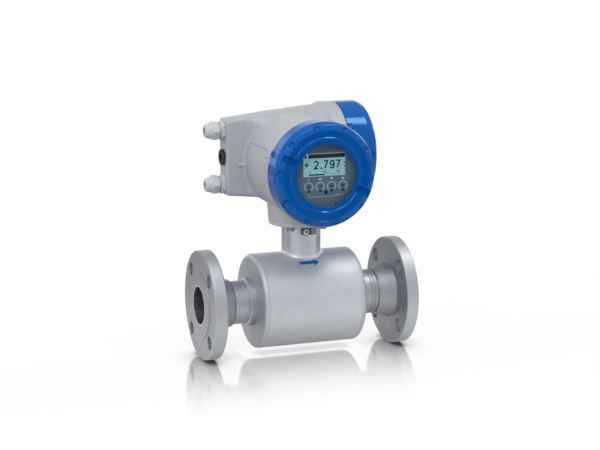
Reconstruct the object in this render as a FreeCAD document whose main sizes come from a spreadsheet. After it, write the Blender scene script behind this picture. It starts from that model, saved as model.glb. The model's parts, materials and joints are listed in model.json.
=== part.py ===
import FreeCAD
import Part
import Sketcher
import math
import os
import re

# Ultrasonic flow meter: a flanged measuring tube in a round shell, carrying a converter on a neck.
# Lengths are in millimetres. The origin is on the pipe axis at mid length, X runs with the flow,
# the display faces -Y and Z is up.

doc = FreeCAD.newDocument("flow_meter")
sheet = doc.addObject("Spreadsheet::Sheet", "sizes")
names = []
nodes = []


def size(name, value):
    """Write one named size, or a formula of named sizes, in the next row of the sheet."""
    row = len(names) + 1
    sheet.set("A%d" % row, name)
    sheet.set("B%d" % row, str(value))
    sheet.setAlias("B%d" % row, name)
    names.append(name)


# Flanged pipe
face_to_face = 300
flange_diameter = 152.4
flange_rim = 17.5
raised_face_diameter = 92.1
raised_face_height = 1.6
bolt_circle_diameter = 120.7
bolt_hole_diameter = 19.1
bore_diameter = 52.5
tube_diameter = 60.3
hub_base_diameter = 78
hub_end_diameter = 65
hub_length = 24
ridge_height = 1.2
ridge_width = 2
ridge_pitch = 4.5
ridge_setback = 3.5
flange_edge_round = 1.2

# Shell around the measuring tube
shell_diameter = 132
shell_length = 150
shell_wall = 3
end_plate_thickness = 8
shell_edge_round = 6
collar_diameter = 67
collar_width = 11
collar_bevel = 2.5

# Ultrasonic transducers on three slanting paths
path_offset = 13
transducer_diameter = 10
transducer_clearance = 0.1
transducer_front = 43
holder_diameter = 16
holder_end = 60
transducer_head_height = 4
transducer_head_diameter = 15

# Neck between shell and converter
neck_diameter = 54.5
neck_wall = 2.5
neck_foot_round = 4
neck_flange_thickness = 4
neck_flange_diameter = 91
neck_flange_round = 1.5
base_screw_spacing = 48
base_screw_diameter = 6
base_screw_head_diameter = 10
base_screw_head_height = 6
base_screw_reach = 14
base_screw_socket = 5
base_screw_socket_depth = 3
screw_clearance = 0.15

# Earth terminal on the front of the neck
earth_drop = 7
earth_block_width = 20
earth_block_height = 9
earth_block_front = 33
earth_screw_offset = 5
earth_screw_diameter = 5
earth_screw_head_diameter = 8.6
earth_screw_head_height = 2.6
earth_washer_diameter = 11
earth_washer_thickness = 1.2
earth_clamp_width = 8
earth_clamp_thickness = 2.4

# Converter housing
display_axis_height = 189
display_axis_rise = 77.5
display_seam = 66
barrel_diameter = 137
barrel_rear = 72
barrel_rear_round = 5
terminal_axis_rise = 6.5
terminal_axis_depth = 60
terminal_seam = 69.5
terminal_collar_width = 20
terminal_collar_bevel = 3
mouth_diameter = 124
front_chamber_floor = 6
terminal_mouth_depth = 18
terminal_chamber_diameter = 114
terminal_chamber_floor = 5
wing_end = 94
wing_thickness = 35
wing_height = 107
wing_corner = 6
wing_tip_round = 2.5
wing_bend_start = 66
wing_bend_end = 4
wing_joint_flat = 1
wing_joint_overlap = 6
wing_wall = 6.5
wing_centre_rise = 0.5
base_top_diameter = 97
base_cone_height = 38.5
base_inner_height = 60.5
lead_passage_diameter = 28
lead_passage_depth = 8
lead_passage_height = 38.5
base_screw_hole_spare = 2
flat_start = 4
flat_slope = 3.4
flat_size = 90
side_relief_depth = 0.7
side_relief_front = 42
side_relief_back = 36
lock_relief_depth = 0.8
lock_relief_front = 56
lock_relief_back = 45
nub_radius = 2.2
nub_start = 79
nub_length = 18
nub_drop = 10
nub_depth = 42.5

# Screwed covers over the display and the terminals
cover_diameter = 144
cover_depth = 38
cover_side = 26
cover_shoulder_diameter = 138
cover_shoulder = 34
cover_front_diameter = 124
cover_round = 6
cover_lip_round = 1.5
seam_gap = 0.9
seam_gap_depth = 2.5
ring_recess = 1.2
ring_inner_diameter = 103
cover_thread_clearance = 1.3
spigot_length = 12
spigot_wall = 5.5
seal_groove_depth = 1.5
seal_groove_width = 4.5
seal_clearance = 0.3
window_ring_diameter = 98
window_recess = 1.4
window_diameter = 85.6
window_lip = 5
gasket_thickness = 0.8
gasket_width = 5.5
glass_diameter = 100
glass_thickness = 4
glass_clearance = 0.2
retainer_height = 4
retainer_width = 3.2
blind_wall = 6
pocket_count = 10
pocket_radius = 5.2
pocket_circle_diameter = 135
pocket_setback = 1
slot_width = 9
slot_depth = 4.5
slot_inner = 47
slot_outer = 67.5
lug_width = 8
lug_start = 1
lug_length = 8
lug_top = 73.2
lock_screw_diameter = 4
lock_screw_length = 4
lock_screw_sink = 0.5
lock_screw_socket_depth = 2.5
display_cover_turn = 156
terminal_cover_turn = 143
terminal_cover_extra = 5.5

# Display and electronics stack in the front chamber
display_gap = 0.9
display_plate_diameter = 92
display_plate_wall = 2.5
display_plate_skirt = 8
lcd_width = 60
lcd_height = 31
lcd_rise = 14
lcd_setback = 0.6
lcd_clearance = 0.2
board_thickness = 2
board_diameter = 106
carrier_diameter = 118
carrier_thickness = 3
spacer_diameter = 8
spacer_circle_diameter = 78
lower_spacer_length = 16
middle_spacer_length = 18
transformer_length = 40
transformer_width = 34
transformer_height = 14
feed_diameter = 16
feed_flange_diameter = 26
feed_flange_height = 2
feed_offset = 25
feed_reach = 16
feed_flange_clearance = 0.5

# Terminals in the side chamber
terminal_plate_diameter = 112
terminal_plate_thickness = 3
terminal_slot_margin = 2
terminal_block_width = 16
terminal_block_height = 70
terminal_block_depth = 20
terminal_block_offset = 16
terminal_count = 8
terminal_screw_radius = 2.1
terminal_screw_depth = 6
terminal_screw_row = 11
terminal_wire_width = 4.4
terminal_wire_depth = 9
terminal_wire_row = 2

# Cable glands and blind plug on the end of the wing
entry_pitch = 38
entry_thread_diameter = 20
thread_clearance = 0.6
gland_hex = 24
gland_hex_height = 6
gland_thread_length = 9
gland_neck_length = 10
gland_neck_diameter = 19
gland_bore_diameter = 12.2
gland_gap = 3
cable_diameter = 9
seal_diameter = 12
seal_start = 4
seal_end = 22
clamp_ring_height = 3.5
clamp_ring_clearance = 0.3
nut_hex_height = 9
nut_end = 28
nut_dome_start_diameter = 23.4
nut_tip_diameter = 18
nut_tip_bore_diameter = 10
nut_dome_round = 4.5
nut_tip_wall = 2.5
hex_chamfer = 1
plug_head_diameter = 23
plug_head_height = 3
plug_head_round = 1.2
plug_seal_thickness = 1.2
plug_socket = 10
plug_socket_depth = 2

# Each size above fills a row of the sheet, and the formulas below fill the rest
for name, number in list(globals().items()):
    if isinstance(number, (int, float)):
        size(name, number)

# Flanged pipe, worked out
size("end_face", "=face_to_face / 2")
size("flange_radius", "=flange_diameter / 2")
size("raised_radius", "=raised_face_diameter / 2")
size("rim_front", "=end_face - raised_face_height")
size("rim_back", "=rim_front - flange_rim")
size("hub_end", "=rim_back - hub_length")
size("hub_base_radius", "=hub_base_diameter / 2")
size("hub_end_radius", "=hub_end_diameter / 2")
size("bolt_circle_radius", "=bolt_circle_diameter / 2")
size("bolt_hole_radius", "=bolt_hole_diameter / 2")
size("bore_radius", "=bore_diameter / 2")
size("tube_radius", "=tube_diameter / 2")
size("ridge_radius", "=tube_radius + ridge_height")
size("ridge_one", "=hub_end - ridge_setback")
size("ridge_two", "=ridge_one - ridge_pitch")

# Shell around the measuring tube, worked out
size("shell_radius", "=shell_diameter / 2")
size("shell_bore_radius", "=shell_radius - shell_wall")
size("shell_end", "=shell_length / 2")
size("plate_back", "=shell_end - end_plate_thickness")
size("collar_radius", "=collar_diameter / 2")
size("collar_end", "=shell_end + collar_width")

# Ultrasonic transducers on three slanting paths, worked out
size("transducer_radius", "=transducer_diameter / 2")
size("transducer_hole_radius", "=transducer_radius + transducer_clearance")
size("transducer_head_radius", "=transducer_head_diameter / 2")
size("transducer_end", "=holder_end + transducer_head_height")
size("holder_radius", "=holder_diameter / 2")

# Neck between shell and converter, worked out
size("neck_radius", "=neck_diameter / 2")
size("neck_bore_radius", "=neck_radius - neck_wall")
size("neck_flange_radius", "=neck_flange_diameter / 2")
size("base_bottom", "=display_axis_height - display_axis_rise")
size("neck_flange_bottom", "=base_bottom - neck_flange_thickness")
size("base_screw_offset", "=base_screw_spacing / 2")
size("base_screw_radius", "=base_screw_diameter / 2")
size("base_screw_head_radius", "=base_screw_head_diameter / 2")
size("base_screw_hole_radius", "=base_screw_radius + screw_clearance")

# Earth terminal on the front of the neck, worked out
size("earth_height", "=neck_flange_bottom - earth_drop")
size("earth_screw_radius", "=earth_screw_diameter / 2")
size("earth_screw_hole_radius", "=earth_screw_radius + screw_clearance")
size("earth_screw_head_radius", "=earth_screw_head_diameter / 2")
size("earth_washer_radius", "=earth_washer_diameter / 2")
size("earth_washer_front", "=earth_block_front + earth_washer_thickness")
size("earth_head_front", "=earth_washer_front + earth_screw_head_height")

# Converter housing, worked out
size("barrel_radius", "=barrel_diameter / 2")
size("terminal_axis_height", "=display_axis_height + terminal_axis_rise")
size("mouth_radius", "=mouth_diameter / 2")
size("front_chamber_depth", "=display_seam - front_chamber_floor")
size("terminal_chamber_radius", "=terminal_chamber_diameter / 2")
size("terminal_mouth_floor", "=terminal_seam - terminal_mouth_depth")
size("terminal_collar_start", "=terminal_seam - terminal_collar_width")
size("terminal_bevel_start", "=terminal_collar_start - terminal_collar_bevel")
size("wing_centre_height", "=terminal_axis_height + wing_centre_rise")
size("wing_rise", "=(barrel_diameter - wing_height) / (wing_end + terminal_bevel_start)")
WING_SECTIONS = []


def wing_sizes(place, widening, inset="0"):
    """Sizes of the next section across the wing: a rounded rectangle at a place along X.

    Widening runs from 0, the flat end of the wing, to 1, where it is as round as the side barrel.
    """
    label = "wing_section_%d" % len(WING_SECTIONS)
    WING_SECTIONS.append(label)
    half_height = "(wing_height + wing_rise * (%s_position + wing_end)) / 2" % label
    half_thickness = "(wing_thickness + (barrel_diameter - wing_thickness) * %g) / 2" % widening
    corner = "wing_corner + (%s - wing_joint_flat - wing_corner) * %g" % (half_height, widening)
    size(label + "_position", "=" + place)
    size(label + "_half_height", "=%s - %s" % (half_height, inset))
    size(label + "_half_thickness", "=%s - %s" % (half_thickness, inset))
    size(label + "_corner", "=%s - %s" % (corner, inset))


WING_BEND_STEPS = 7
wing_sizes("0 - wing_end", 0, "wing_tip_round")
wing_sizes("wing_tip_round * (1 - cos(45 deg)) - wing_end", 0, "wing_tip_round * (1 - cos(45 deg))")
wing_sizes("wing_tip_round - wing_end", 0)
for step in range(WING_BEND_STEPS + 1):
    share = step / WING_BEND_STEPS
    bend_place = "(wing_bend_start - wing_bend_end) * %g - wing_bend_start" % share
    wing_sizes(bend_place, share * share * (3 - 2 * share))
wing_sizes("terminal_bevel_start", 1)
size("base_top_radius", "=base_top_diameter / 2")
size("base_cone_top", "=base_bottom + base_cone_height")
size("base_inner_top", "=base_bottom + base_inner_height")
size("lead_passage_radius", "=lead_passage_diameter / 2")
size("wing_slot_length", "=wing_end - wing_wall - terminal_chamber_floor + 1")
size("wing_slot_thickness", "=wing_thickness - 2 * wing_wall")
size("wing_slot_height", "=wing_height - 2 * wing_wall")

# Screwed covers over the display and the terminals, worked out
size("cover_radius", "=cover_diameter / 2")
size("cover_shoulder_radius", "=cover_shoulder_diameter / 2")
size("cover_front_radius", "=cover_front_diameter / 2")
size("ring_inner_radius", "=ring_inner_diameter / 2")
size("spigot_radius", "=mouth_radius - cover_thread_clearance")
size("spigot_bore_radius", "=spigot_radius - spigot_wall")
size("seal_groove_radius", "=spigot_radius + seal_groove_width")
size("seal_inner_radius", "=mouth_radius + seal_clearance")
size("seal_outer_radius", "=seal_groove_radius - seal_clearance")
size("window_ring_radius", "=window_ring_diameter / 2")
size("window_radius", "=window_diameter / 2")
size("window_front", "=cover_depth - window_recess")
size("window_seat", "=window_front - window_lip")
size("glass_front", "=window_seat - gasket_thickness")
size("glass_back", "=glass_front - glass_thickness")
size("glass_radius", "=glass_diameter / 2")
size("glass_seat_radius", "=glass_radius + glass_clearance")
size("gasket_bore_radius", "=glass_radius - gasket_width")
size("retainer_back", "=glass_back - retainer_height")
size("retainer_bore_radius", "=glass_radius - retainer_width")
size("blind_inside", "=cover_depth + terminal_cover_extra - blind_wall")
size("pocket_circle_radius", "=pocket_circle_diameter / 2")
size("lock_screw_radius", "=lock_screw_diameter / 2")
size("lock_screw_centre", "=lug_start + lug_length / 2")
size("lock_screw_foot", "=lug_top - lock_screw_length")

# Display and electronics stack in the front chamber, worked out
size("display_plate_radius", "=display_plate_diameter / 2")
size("display_plate_bore_radius", "=display_plate_radius - display_plate_wall")
size("display_front", "=display_seam + glass_back - display_gap")
size("display_plate_back", "=display_front - display_plate_wall")
size("display_plate_rear", "=display_front - display_plate_skirt")
size("display_board_back", "=display_plate_rear - board_thickness")
size("lcd_front", "=display_front - lcd_setback")
size("lcd_depth", "=lcd_front - display_plate_rear")
size("lcd_bottom", "=display_axis_height + lcd_rise - lcd_height / 2")
size("board_radius", "=board_diameter / 2")
size("carrier_radius", "=carrier_diameter / 2")
size("spacer_radius", "=spacer_diameter / 2")
size("spacer_offset", "=spacer_circle_diameter / 2 * cos(45 deg)")
size("carrier_front", "=front_chamber_floor + carrier_thickness")
size("power_board_back", "=carrier_front + lower_spacer_length")
size("power_board_front", "=power_board_back + board_thickness")
size("signal_board_back", "=power_board_front + middle_spacer_length")
size("signal_board_front", "=signal_board_back + board_thickness")
size("upper_spacer_length", "=display_board_back - signal_board_front")
size("feed_radius", "=feed_diameter / 2")
size("feed_flange_radius", "=feed_flange_diameter / 2")
size("feed_hole_radius", "=feed_radius + screw_clearance")
size("carrier_feed_radius", "=feed_flange_radius + feed_flange_clearance")

# Terminals in the side chamber, worked out
size("core_slot_thickness", "=wing_slot_thickness - terminal_slot_margin")
size("core_slot_height", "=wing_slot_height - terminal_slot_margin")
size("terminal_plate_radius", "=terminal_plate_diameter / 2")
size("terminal_plate_start", "=0 - terminal_chamber_floor")
size("terminal_plate_front", "=terminal_plate_start + terminal_plate_thickness")
size("terminal_block_front", "=terminal_plate_front + terminal_block_depth")
size("terminal_pitch", "=terminal_block_height / terminal_count")

# Cable glands and blind plug on the end of the wing, worked out
size("entry_thread_radius", "=entry_thread_diameter / 2")
size("entry_hole_radius", "=entry_thread_radius + thread_clearance")
size("gland_hex_corner", "=gland_hex / 2 / cos(30 deg)")
size("gland_hex_edge", "=gland_hex / 2")
size("gland_neck_radius", "=gland_neck_diameter / 2")
size("gland_bore_radius", "=gland_bore_diameter / 2")
size("gland_neck_end", "=gland_hex_height + gland_neck_length")
size("nut_start", "=gland_hex_height + gland_gap")
size("nut_hex_end", "=nut_start + nut_hex_height")
size("nut_bore_radius", "=gland_neck_radius + thread_clearance")
size("nut_dome_radius", "=nut_dome_start_diameter / 2")
size("nut_tip_radius", "=nut_tip_diameter / 2")
size("nut_tip_bore_radius", "=nut_tip_bore_diameter / 2")
size("clamp_ring_end", "=gland_neck_end + clamp_ring_height")
size("cable_radius", "=cable_diameter / 2")
size("seal_radius", "=seal_diameter / 2")
size("clamp_bore_radius", "=seal_radius + clamp_ring_clearance")
size("nut_inner_end", "=nut_end - nut_tip_wall")
size("plug_head_radius", "=plug_head_diameter / 2")
size("plug_end", "=plug_seal_thickness + plug_head_height")
size("plug_seal_outer_radius", "=plug_head_radius - seal_clearance")
size("plug_socket_corner", "=plug_socket / 2 / cos(30 deg)")
size("plug_socket_floor", "=plug_end - plug_socket_depth")
doc.recompute()

AHEAD = FreeCAD.Rotation(FreeCAD.Vector(0, 0, 1), -90)
LEFTWARD = FreeCAD.Rotation(FreeCAD.Vector(0, 0, 1), 180)
STRAIGHT = FreeCAD.Rotation()
UPRIGHT = FreeCAD.Rotation(FreeCAD.Vector(0, 1, 0), -90)
Z_TO_X = FreeCAD.Rotation(FreeCAD.Vector(0, 1, 0), 90)
Z_TO_Y = FreeCAD.Rotation(FreeCAD.Vector(1, 0, 0), -90)
Z_TO_MINUS_Y = FreeCAD.Rotation(FreeCAD.Vector(1, 0, 0), 90)
FLATS_UP = FreeCAD.Rotation(FreeCAD.Vector(1, 0, 0), 30)
NOWHERE = ("0", "0", "0")


def value(name):
    return float(sheet.get(name))


def amount(text):
    """Value of a sum of named sizes and numbers, such as "cover_depth - 2"."""
    total = 0.0
    sign = 1.0
    for word in text.split():
        if word in ("+", "-"):
            sign = 1.0 if word == "+" else -1.0
        else:
            total += sign * (value(word) if word in names else float(word))
            sign = 1.0
    return total


def linked(text):
    """The same sum as an expression that reads the sheet."""
    return re.sub("[a-z][a-z0-9_]*", lambda word: "sizes." + word[0] if word[0] in names else word[0], text)


def place(thing, at=NOWHERE, turn=STRAIGHT):
    thing.Placement = FreeCAD.Placement(FreeCAD.Vector(), turn)
    for axis, text in zip("xyz", at):
        thing.setExpression("Placement.Base." + axis, linked(text))
    return thing


def node(thing, label):
    """Make an object one of the finished pieces."""
    thing.Label = label
    nodes.append(thing)
    return thing


def origin_plane(body, role):
    return [feature for feature in body.Origin.OriginFeatures if feature.Role == role][0]


def new_sketch(body, label, role):
    sketch = body.newObject("Sketcher::SketchObject", label)
    sketch.AttachmentSupport = [(origin_plane(body, role), "")]
    sketch.MapMode = "FlatFace"
    return sketch


def pin(sketch, line, end, along, out):
    """Hold one sketch point at two sums of named sizes."""
    for kind, text, axis in (("DistanceX", along, -2), ("DistanceY", out, -1)):
        if text == "0":
            sketch.addConstraint(Sketcher.Constraint("PointOnObject", line, end, axis))
        else:
            index = sketch.addConstraint(Sketcher.Constraint(kind, -1, 1, line, end, amount(text)))
            sketch.setExpression("Constraints[%d]" % index, linked(text))


def turned(label, corners, rounds=()):
    """Revolve a closed outline of (along, out) corners about X, then round the named corners."""
    body = doc.addObject("PartDesign::Body", label)
    sketch = new_sketch(body, label + "_outline", "XY_Plane")
    spots = [FreeCAD.Vector(amount(along), amount(out), 0) for along, out in corners]
    count = len(spots)
    for index in range(count):
        sketch.addGeometry(Part.LineSegment(spots[index], spots[(index + 1) % count]), False)
    for index in range(count):
        sketch.addConstraint(Sketcher.Constraint("Coincident", index, 2, (index + 1) % count, 1))
    for index, (along, out) in enumerate(corners):
        pin(sketch, index, 1, along, out)
    feature = body.newObject("PartDesign::Revolution", label + "_turned")
    feature.Profile = sketch
    feature.ReferenceAxis = (sketch, ["H_Axis"])
    feature.Angle = 360
    body.Tip = feature
    for along, out, radius in rounds:
        doc.recompute()
        edge = circle_edge(feature.Shape, amount(along), amount(out))
        rounded = body.newObject("PartDesign::Fillet", label + "_round")
        rounded.Base = (feature, [edge])
        rounded.setExpression("Radius", linked(radius))
        feature = rounded
        body.Tip = feature
    return body


def circle_edge(shape, along, radius):
    """Name of the circular edge at a distance along X with a given radius."""
    for index, edge in enumerate(shape.Edges):
        if isinstance(edge.Curve, Part.Circle):
            if abs(edge.Curve.Radius - radius) < 0.001 and abs(edge.Curve.Center.x - along) < 0.001:
                return "Edge%d" % (index + 1)
    raise ValueError("no edge at %s, %s" % (along, radius))


def rod(label, radius, length, at=NOWHERE, turn=STRAIGHT):
    cylinder = doc.addObject("Part::Cylinder", label)
    cylinder.setExpression("Radius", linked(radius))
    cylinder.setExpression("Height", linked(length))
    return place(cylinder, at, turn)


def block(label, lengths, at=NOWHERE, turn=STRAIGHT):
    box = doc.addObject("Part::Box", label)
    for side, text in zip(("Length", "Width", "Height"), lengths):
        box.setExpression(side, linked(text))
    return place(box, at, turn)


def hexagon(label, corner, length, at=NOWHERE, turn=STRAIGHT):
    prism = doc.addObject("Part::Prism", label)
    prism.Polygon = 6
    prism.setExpression("Circumradius", linked(corner))
    prism.setExpression("Height", linked(length))
    return place(prism, at, turn)


def fuse(label, shapes):
    joined = doc.addObject("Part::MultiFuse", label)
    joined.Shapes = shapes
    return joined


def cut(label, base, tools):
    result = doc.addObject("Part::Cut", label)
    result.Base = base
    result.Tool = tools[0] if len(tools) == 1 else fuse(label + "_tools", tools)
    return result


def group(label, shapes):
    together = doc.addObject("Part::Compound", label)
    together.Links = shapes
    return together


# Flanges, welded to the ends of the measuring tube
for side, turn in (("inlet", LEFTWARD), ("outlet", STRAIGHT)):
    blank = turned(side + "_flange_blank", [
        ("hub_end", "bore_radius"),
        ("end_face", "bore_radius"),
        ("end_face", "raised_radius"),
        ("rim_front", "raised_radius"),
        ("rim_front", "flange_radius"),
        ("rim_back", "flange_radius"),
        ("rim_back", "hub_base_radius"),
        ("hub_end", "hub_end_radius"),
    ], [(edge, "flange_radius", "flange_edge_round") for edge in ("rim_front", "rim_back")])
    holes = []
    for angle in (45, 135, 225, 315):
        at = (
            "rim_back - 1",
            "bolt_circle_radius * cos(%d deg)" % angle,
            "bolt_circle_radius * sin(%d deg)" % angle,
        )
        hole_label = "%s_bolt_hole_%d" % (side, angle)
        holes.append(rod(hole_label, "bolt_hole_radius", "flange_rim + 2", at, Z_TO_X))
    flange = cut(side + "_flange", blank, holes)
    node(place(flange, NOWHERE, turn), side + "_flange")

# Measuring tube with two raised rings at the outlet end and six slanting holes
tube_outline = [("0 - hub_end", "bore_radius"), ("hub_end", "bore_radius"), ("hub_end", "tube_radius")]
for start in ("ridge_one", "ridge_two"):
    tube_outline.append((start, "tube_radius"))
    tube_outline.append((start, "ridge_radius"))
    tube_outline.append((start + " - ridge_width", "ridge_radius"))
    tube_outline.append((start + " - ridge_width", "tube_radius"))
tube_outline.append(("0 - hub_end", "tube_radius"))
tube = turned("measuring_tube_blank", tube_outline)

# Transducers: a middle path and two outer paths that slant the other way, with one at each end
PATHS = [
    ("middle", "0", 45),
    ("upper", "path_offset", -45),
    ("lower", "0 - path_offset", -45),
]
tube_holes = []
for path, height, slant in PATHS:
    for end, angle in (("outlet", slant), ("inlet", slant + 180)):
        name = path + "_" + end
        aim = FreeCAD.Rotation(FreeCAD.Vector(0, 0, 1), angle)
        at = ("0", "0", height)
        slant_turn = aim * Z_TO_X
        tube_holes.append(rod(name + "_hole", "transducer_hole_radius", "holder_end", at, slant_turn))
        sleeve = rod(name + "_sleeve", "holder_radius", "holder_end", at, slant_turn)
        sleeve_bore = rod(name + "_sleeve_bore", "transducer_hole_radius", "holder_end + 1", at, slant_turn)
        tube_start = ("0 - shell_end", "0", "0")
        tube_space = rod(name + "_tube_space", "tube_radius", "shell_length", tube_start, Z_TO_X)
        node(cut(name + "_holder", sleeve, [sleeve_bore, tube_space]), name + "_holder")
        transducer = turned(name + "_transducer", [
            ("transducer_front", "0"),
            ("transducer_front", "transducer_radius"),
            ("holder_end", "transducer_radius"),
            ("holder_end", "transducer_head_radius"),
            ("transducer_end", "transducer_head_radius"),
            ("transducer_end", "0"),
        ])
        node(place(transducer, at, aim), name + "_transducer")
node(cut("measuring_tube", tube, tube_holes), "measuring_tube")

# Shell, end plates and the collars on the tube outside them
shell_blank = turned("sensor_shell_blank", [
    ("0 - plate_back", "shell_bore_radius"),
    ("plate_back", "shell_bore_radius"),
    ("plate_back", "shell_radius"),
    ("0 - plate_back", "shell_radius"),
])
neck_hole = rod("neck_hole", "neck_bore_radius", "shell_diameter")
node(cut("sensor_shell", shell_blank, [neck_hole]), "sensor_shell")
for side, turn in (("inlet", LEFTWARD), ("outlet", STRAIGHT)):
    plate = turned(side + "_end_plate", [
        ("plate_back", "tube_radius"),
        ("shell_end", "tube_radius"),
        ("shell_end", "shell_radius"),
        ("plate_back", "shell_radius"),
    ], [("shell_end", "shell_radius", "shell_edge_round")])
    node(place(plate, NOWHERE, turn), side + "_end_plate")
    collar = turned(side + "_collar", [
        ("shell_end", "tube_radius"),
        ("collar_end", "tube_radius"),
        ("collar_end", "collar_radius - collar_bevel"),
        ("collar_end - collar_bevel", "collar_radius"),
        ("shell_end", "collar_radius"),
    ])
    node(place(collar, NOWHERE, turn), side + "_collar")

# Neck: a tube with a rounded foot that follows the shell, welded into a round flange
neck_outside = Part.makeCylinder(value("neck_radius"), value("base_bottom"))
shell_start = FreeCAD.Vector(-value("shell_end"), 0, 0)
shell_outside = Part.makeCylinder(
    value("shell_radius"), value("shell_length"), shell_start, FreeCAD.Vector(1, 0, 0)
)
neck_on_shell = shell_outside.fuse(neck_outside)
foot_edges = []
for edge in neck_on_shell.Edges:
    middle = edge.valueAt((edge.FirstParameter + edge.LastParameter) / 2)
    across = (middle.x ** 2 + middle.y ** 2) ** 0.5
    at_foot = value("neck_radius") < middle.z <= value("shell_radius")
    if at_foot and abs(across - value("neck_radius")) < 0.01:
        foot_edges.append(edge)
neck_shape = neck_on_shell.makeFillet(value("neck_foot_round"), foot_edges).cut(shell_outside)
neck_shape = neck_shape.cut(Part.makeCylinder(value("neck_bore_radius"), value("base_bottom")))
neck_tube = doc.addObject("Part::Feature", "neck_tube")
neck_tube.Shape = neck_shape.Solids[0]
node(neck_tube, "neck_tube")

SCREW_CORNERS = ((1, 1), (-1, 1), (-1, -1), (1, -1))


def corner_at(sign_x, sign_y, offset, height):
    return ("%d * %s" % (sign_x, offset), "%d * %s" % (sign_y, offset), height)


flange_blank = turned("neck_flange_blank", [
    ("neck_flange_bottom", "neck_radius"),
    ("base_bottom", "neck_radius"),
    ("base_bottom", "neck_flange_radius"),
    ("neck_flange_bottom", "neck_flange_radius"),
], [("neck_flange_bottom", "neck_flange_radius", "neck_flange_round")])
place(flange_blank, NOWHERE, UPRIGHT)
flange_holes = []
base_holes = []
base_screws = []
for index, (sign_x, sign_y) in enumerate(SCREW_CORNERS):
    at = corner_at(sign_x, sign_y, "base_screw_offset", "neck_flange_bottom")
    flange_hole = rod("neck_flange_hole_%d" % index, "base_screw_hole_radius", "neck_flange_thickness", at)
    flange_holes.append(flange_hole)
    base_at = corner_at(sign_x, sign_y, "base_screw_offset", "base_bottom")
    base_hole_depth = "base_screw_reach + base_screw_hole_spare - neck_flange_thickness"
    base_holes.append(rod("base_hole_%d" % index, "base_screw_hole_radius", base_hole_depth, base_at))
    head_at = (at[0], at[1], "neck_flange_bottom - base_screw_head_height")
    head = rod("base_screw_head_%d" % index, "base_screw_head_radius", "base_screw_head_height", head_at)
    shank = rod("base_screw_shank_%d" % index, "base_screw_radius", "base_screw_reach", at)
    socket = hexagon("base_screw_socket_%d" % index, "base_screw_socket / 2 / cos(30 deg)",
                     "base_screw_socket_depth", head_at)
    whole = fuse("base_screw_body_%d" % index, [head, shank])
    base_screws.append(cut("base_screw_%d" % index, whole, [socket]))
node(cut("neck_flange", flange_blank, flange_holes), "neck_flange")
node(group("base_screws", base_screws), "base_screws")

# Earth terminal: a block on the neck with a clamping jaw and a screw with its washer
earth_base = "earth_height - earth_block_height / 2"
earth_body = block(
    "earth_block_body",
    ("earth_block_width", "earth_block_front", "earth_block_height"),
    ("0 - earth_block_width / 2", "0 - earth_block_front", earth_base),
)
earth_neck_space = rod("earth_neck_space", "neck_radius", "base_bottom")
earth_screw_at = ("0 - earth_screw_offset", "0 - neck_radius", "earth_height")
earth_screw_hole = rod(
    "earth_screw_hole", "earth_screw_hole_radius", "earth_block_front", earth_screw_at, Z_TO_MINUS_Y
)
node(cut("earth_block", earth_body, [earth_neck_space, earth_screw_hole]), "earth_block")
washer_at = ("0 - earth_screw_offset", "0 - earth_block_front", "earth_height")
washer = rod("earth_washer_blank", "earth_washer_radius", "earth_washer_thickness", washer_at, Z_TO_MINUS_Y)
washer_hole = rod(
    "earth_washer_hole", "earth_screw_hole_radius", "earth_washer_thickness", washer_at, Z_TO_MINUS_Y
)
node(cut("earth_washer", washer, [washer_hole]), "earth_washer")
earth_screw = turned("earth_screw", [
    ("neck_radius + 1", "0"),
    ("neck_radius + 1", "earth_screw_radius"),
    ("earth_washer_front", "earth_screw_radius"),
    ("earth_washer_front", "earth_screw_head_radius"),
    ("earth_head_front", "earth_screw_head_radius"),
    ("earth_head_front", "0"),
], [("earth_head_front", "earth_screw_head_radius", "earth_washer_thickness")])
node(place(earth_screw, ("0 - earth_screw_offset", "0", "earth_height"), AHEAD), "earth_screw")
earth_jaw = block(
    "earth_clamp",
    ("earth_clamp_width", "earth_clamp_thickness", "earth_block_height"),
    ("earth_block_width / 2 - earth_clamp_width",
     "0 - earth_block_front - earth_clamp_thickness", earth_base),
)
node(earth_jaw, "earth_clamp")

# Housing: two barrels that cross, a flat wing for the cable entries and a round base
DISPLAY_CENTRE = ("0", "0 - display_seam", "display_axis_height")
barrel = turned("housing_barrel", [
    ("0 - barrel_rear", "0"),
    ("0 - barrel_rear", "barrel_radius"),
    ("display_seam", "barrel_radius"),
    ("display_seam", "0"),
], [("0 - barrel_rear", "barrel_radius", "barrel_rear_round")])
place(barrel, ("0", "0", "display_axis_height"), AHEAD)
side_barrel = turned("housing_side_barrel", [
    ("terminal_bevel_start - wing_joint_overlap", "0"),
    ("terminal_bevel_start - wing_joint_overlap", "barrel_radius - wing_joint_flat"),
    ("terminal_bevel_start", "barrel_radius"),
    ("terminal_collar_start", "cover_radius"),
    ("terminal_seam", "cover_radius"),
    ("terminal_seam", "0"),
])
place(side_barrel, ("0", "terminal_axis_depth", "terminal_axis_height"))
base = turned("housing_base", [
    ("base_bottom", "0"),
    ("base_bottom", "neck_flange_radius"),
    ("base_cone_top", "base_top_radius"),
    ("base_inner_top", "base_top_radius"),
    ("base_inner_top", "0"),
])
place(base, NOWHERE, UPRIGHT)


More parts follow.
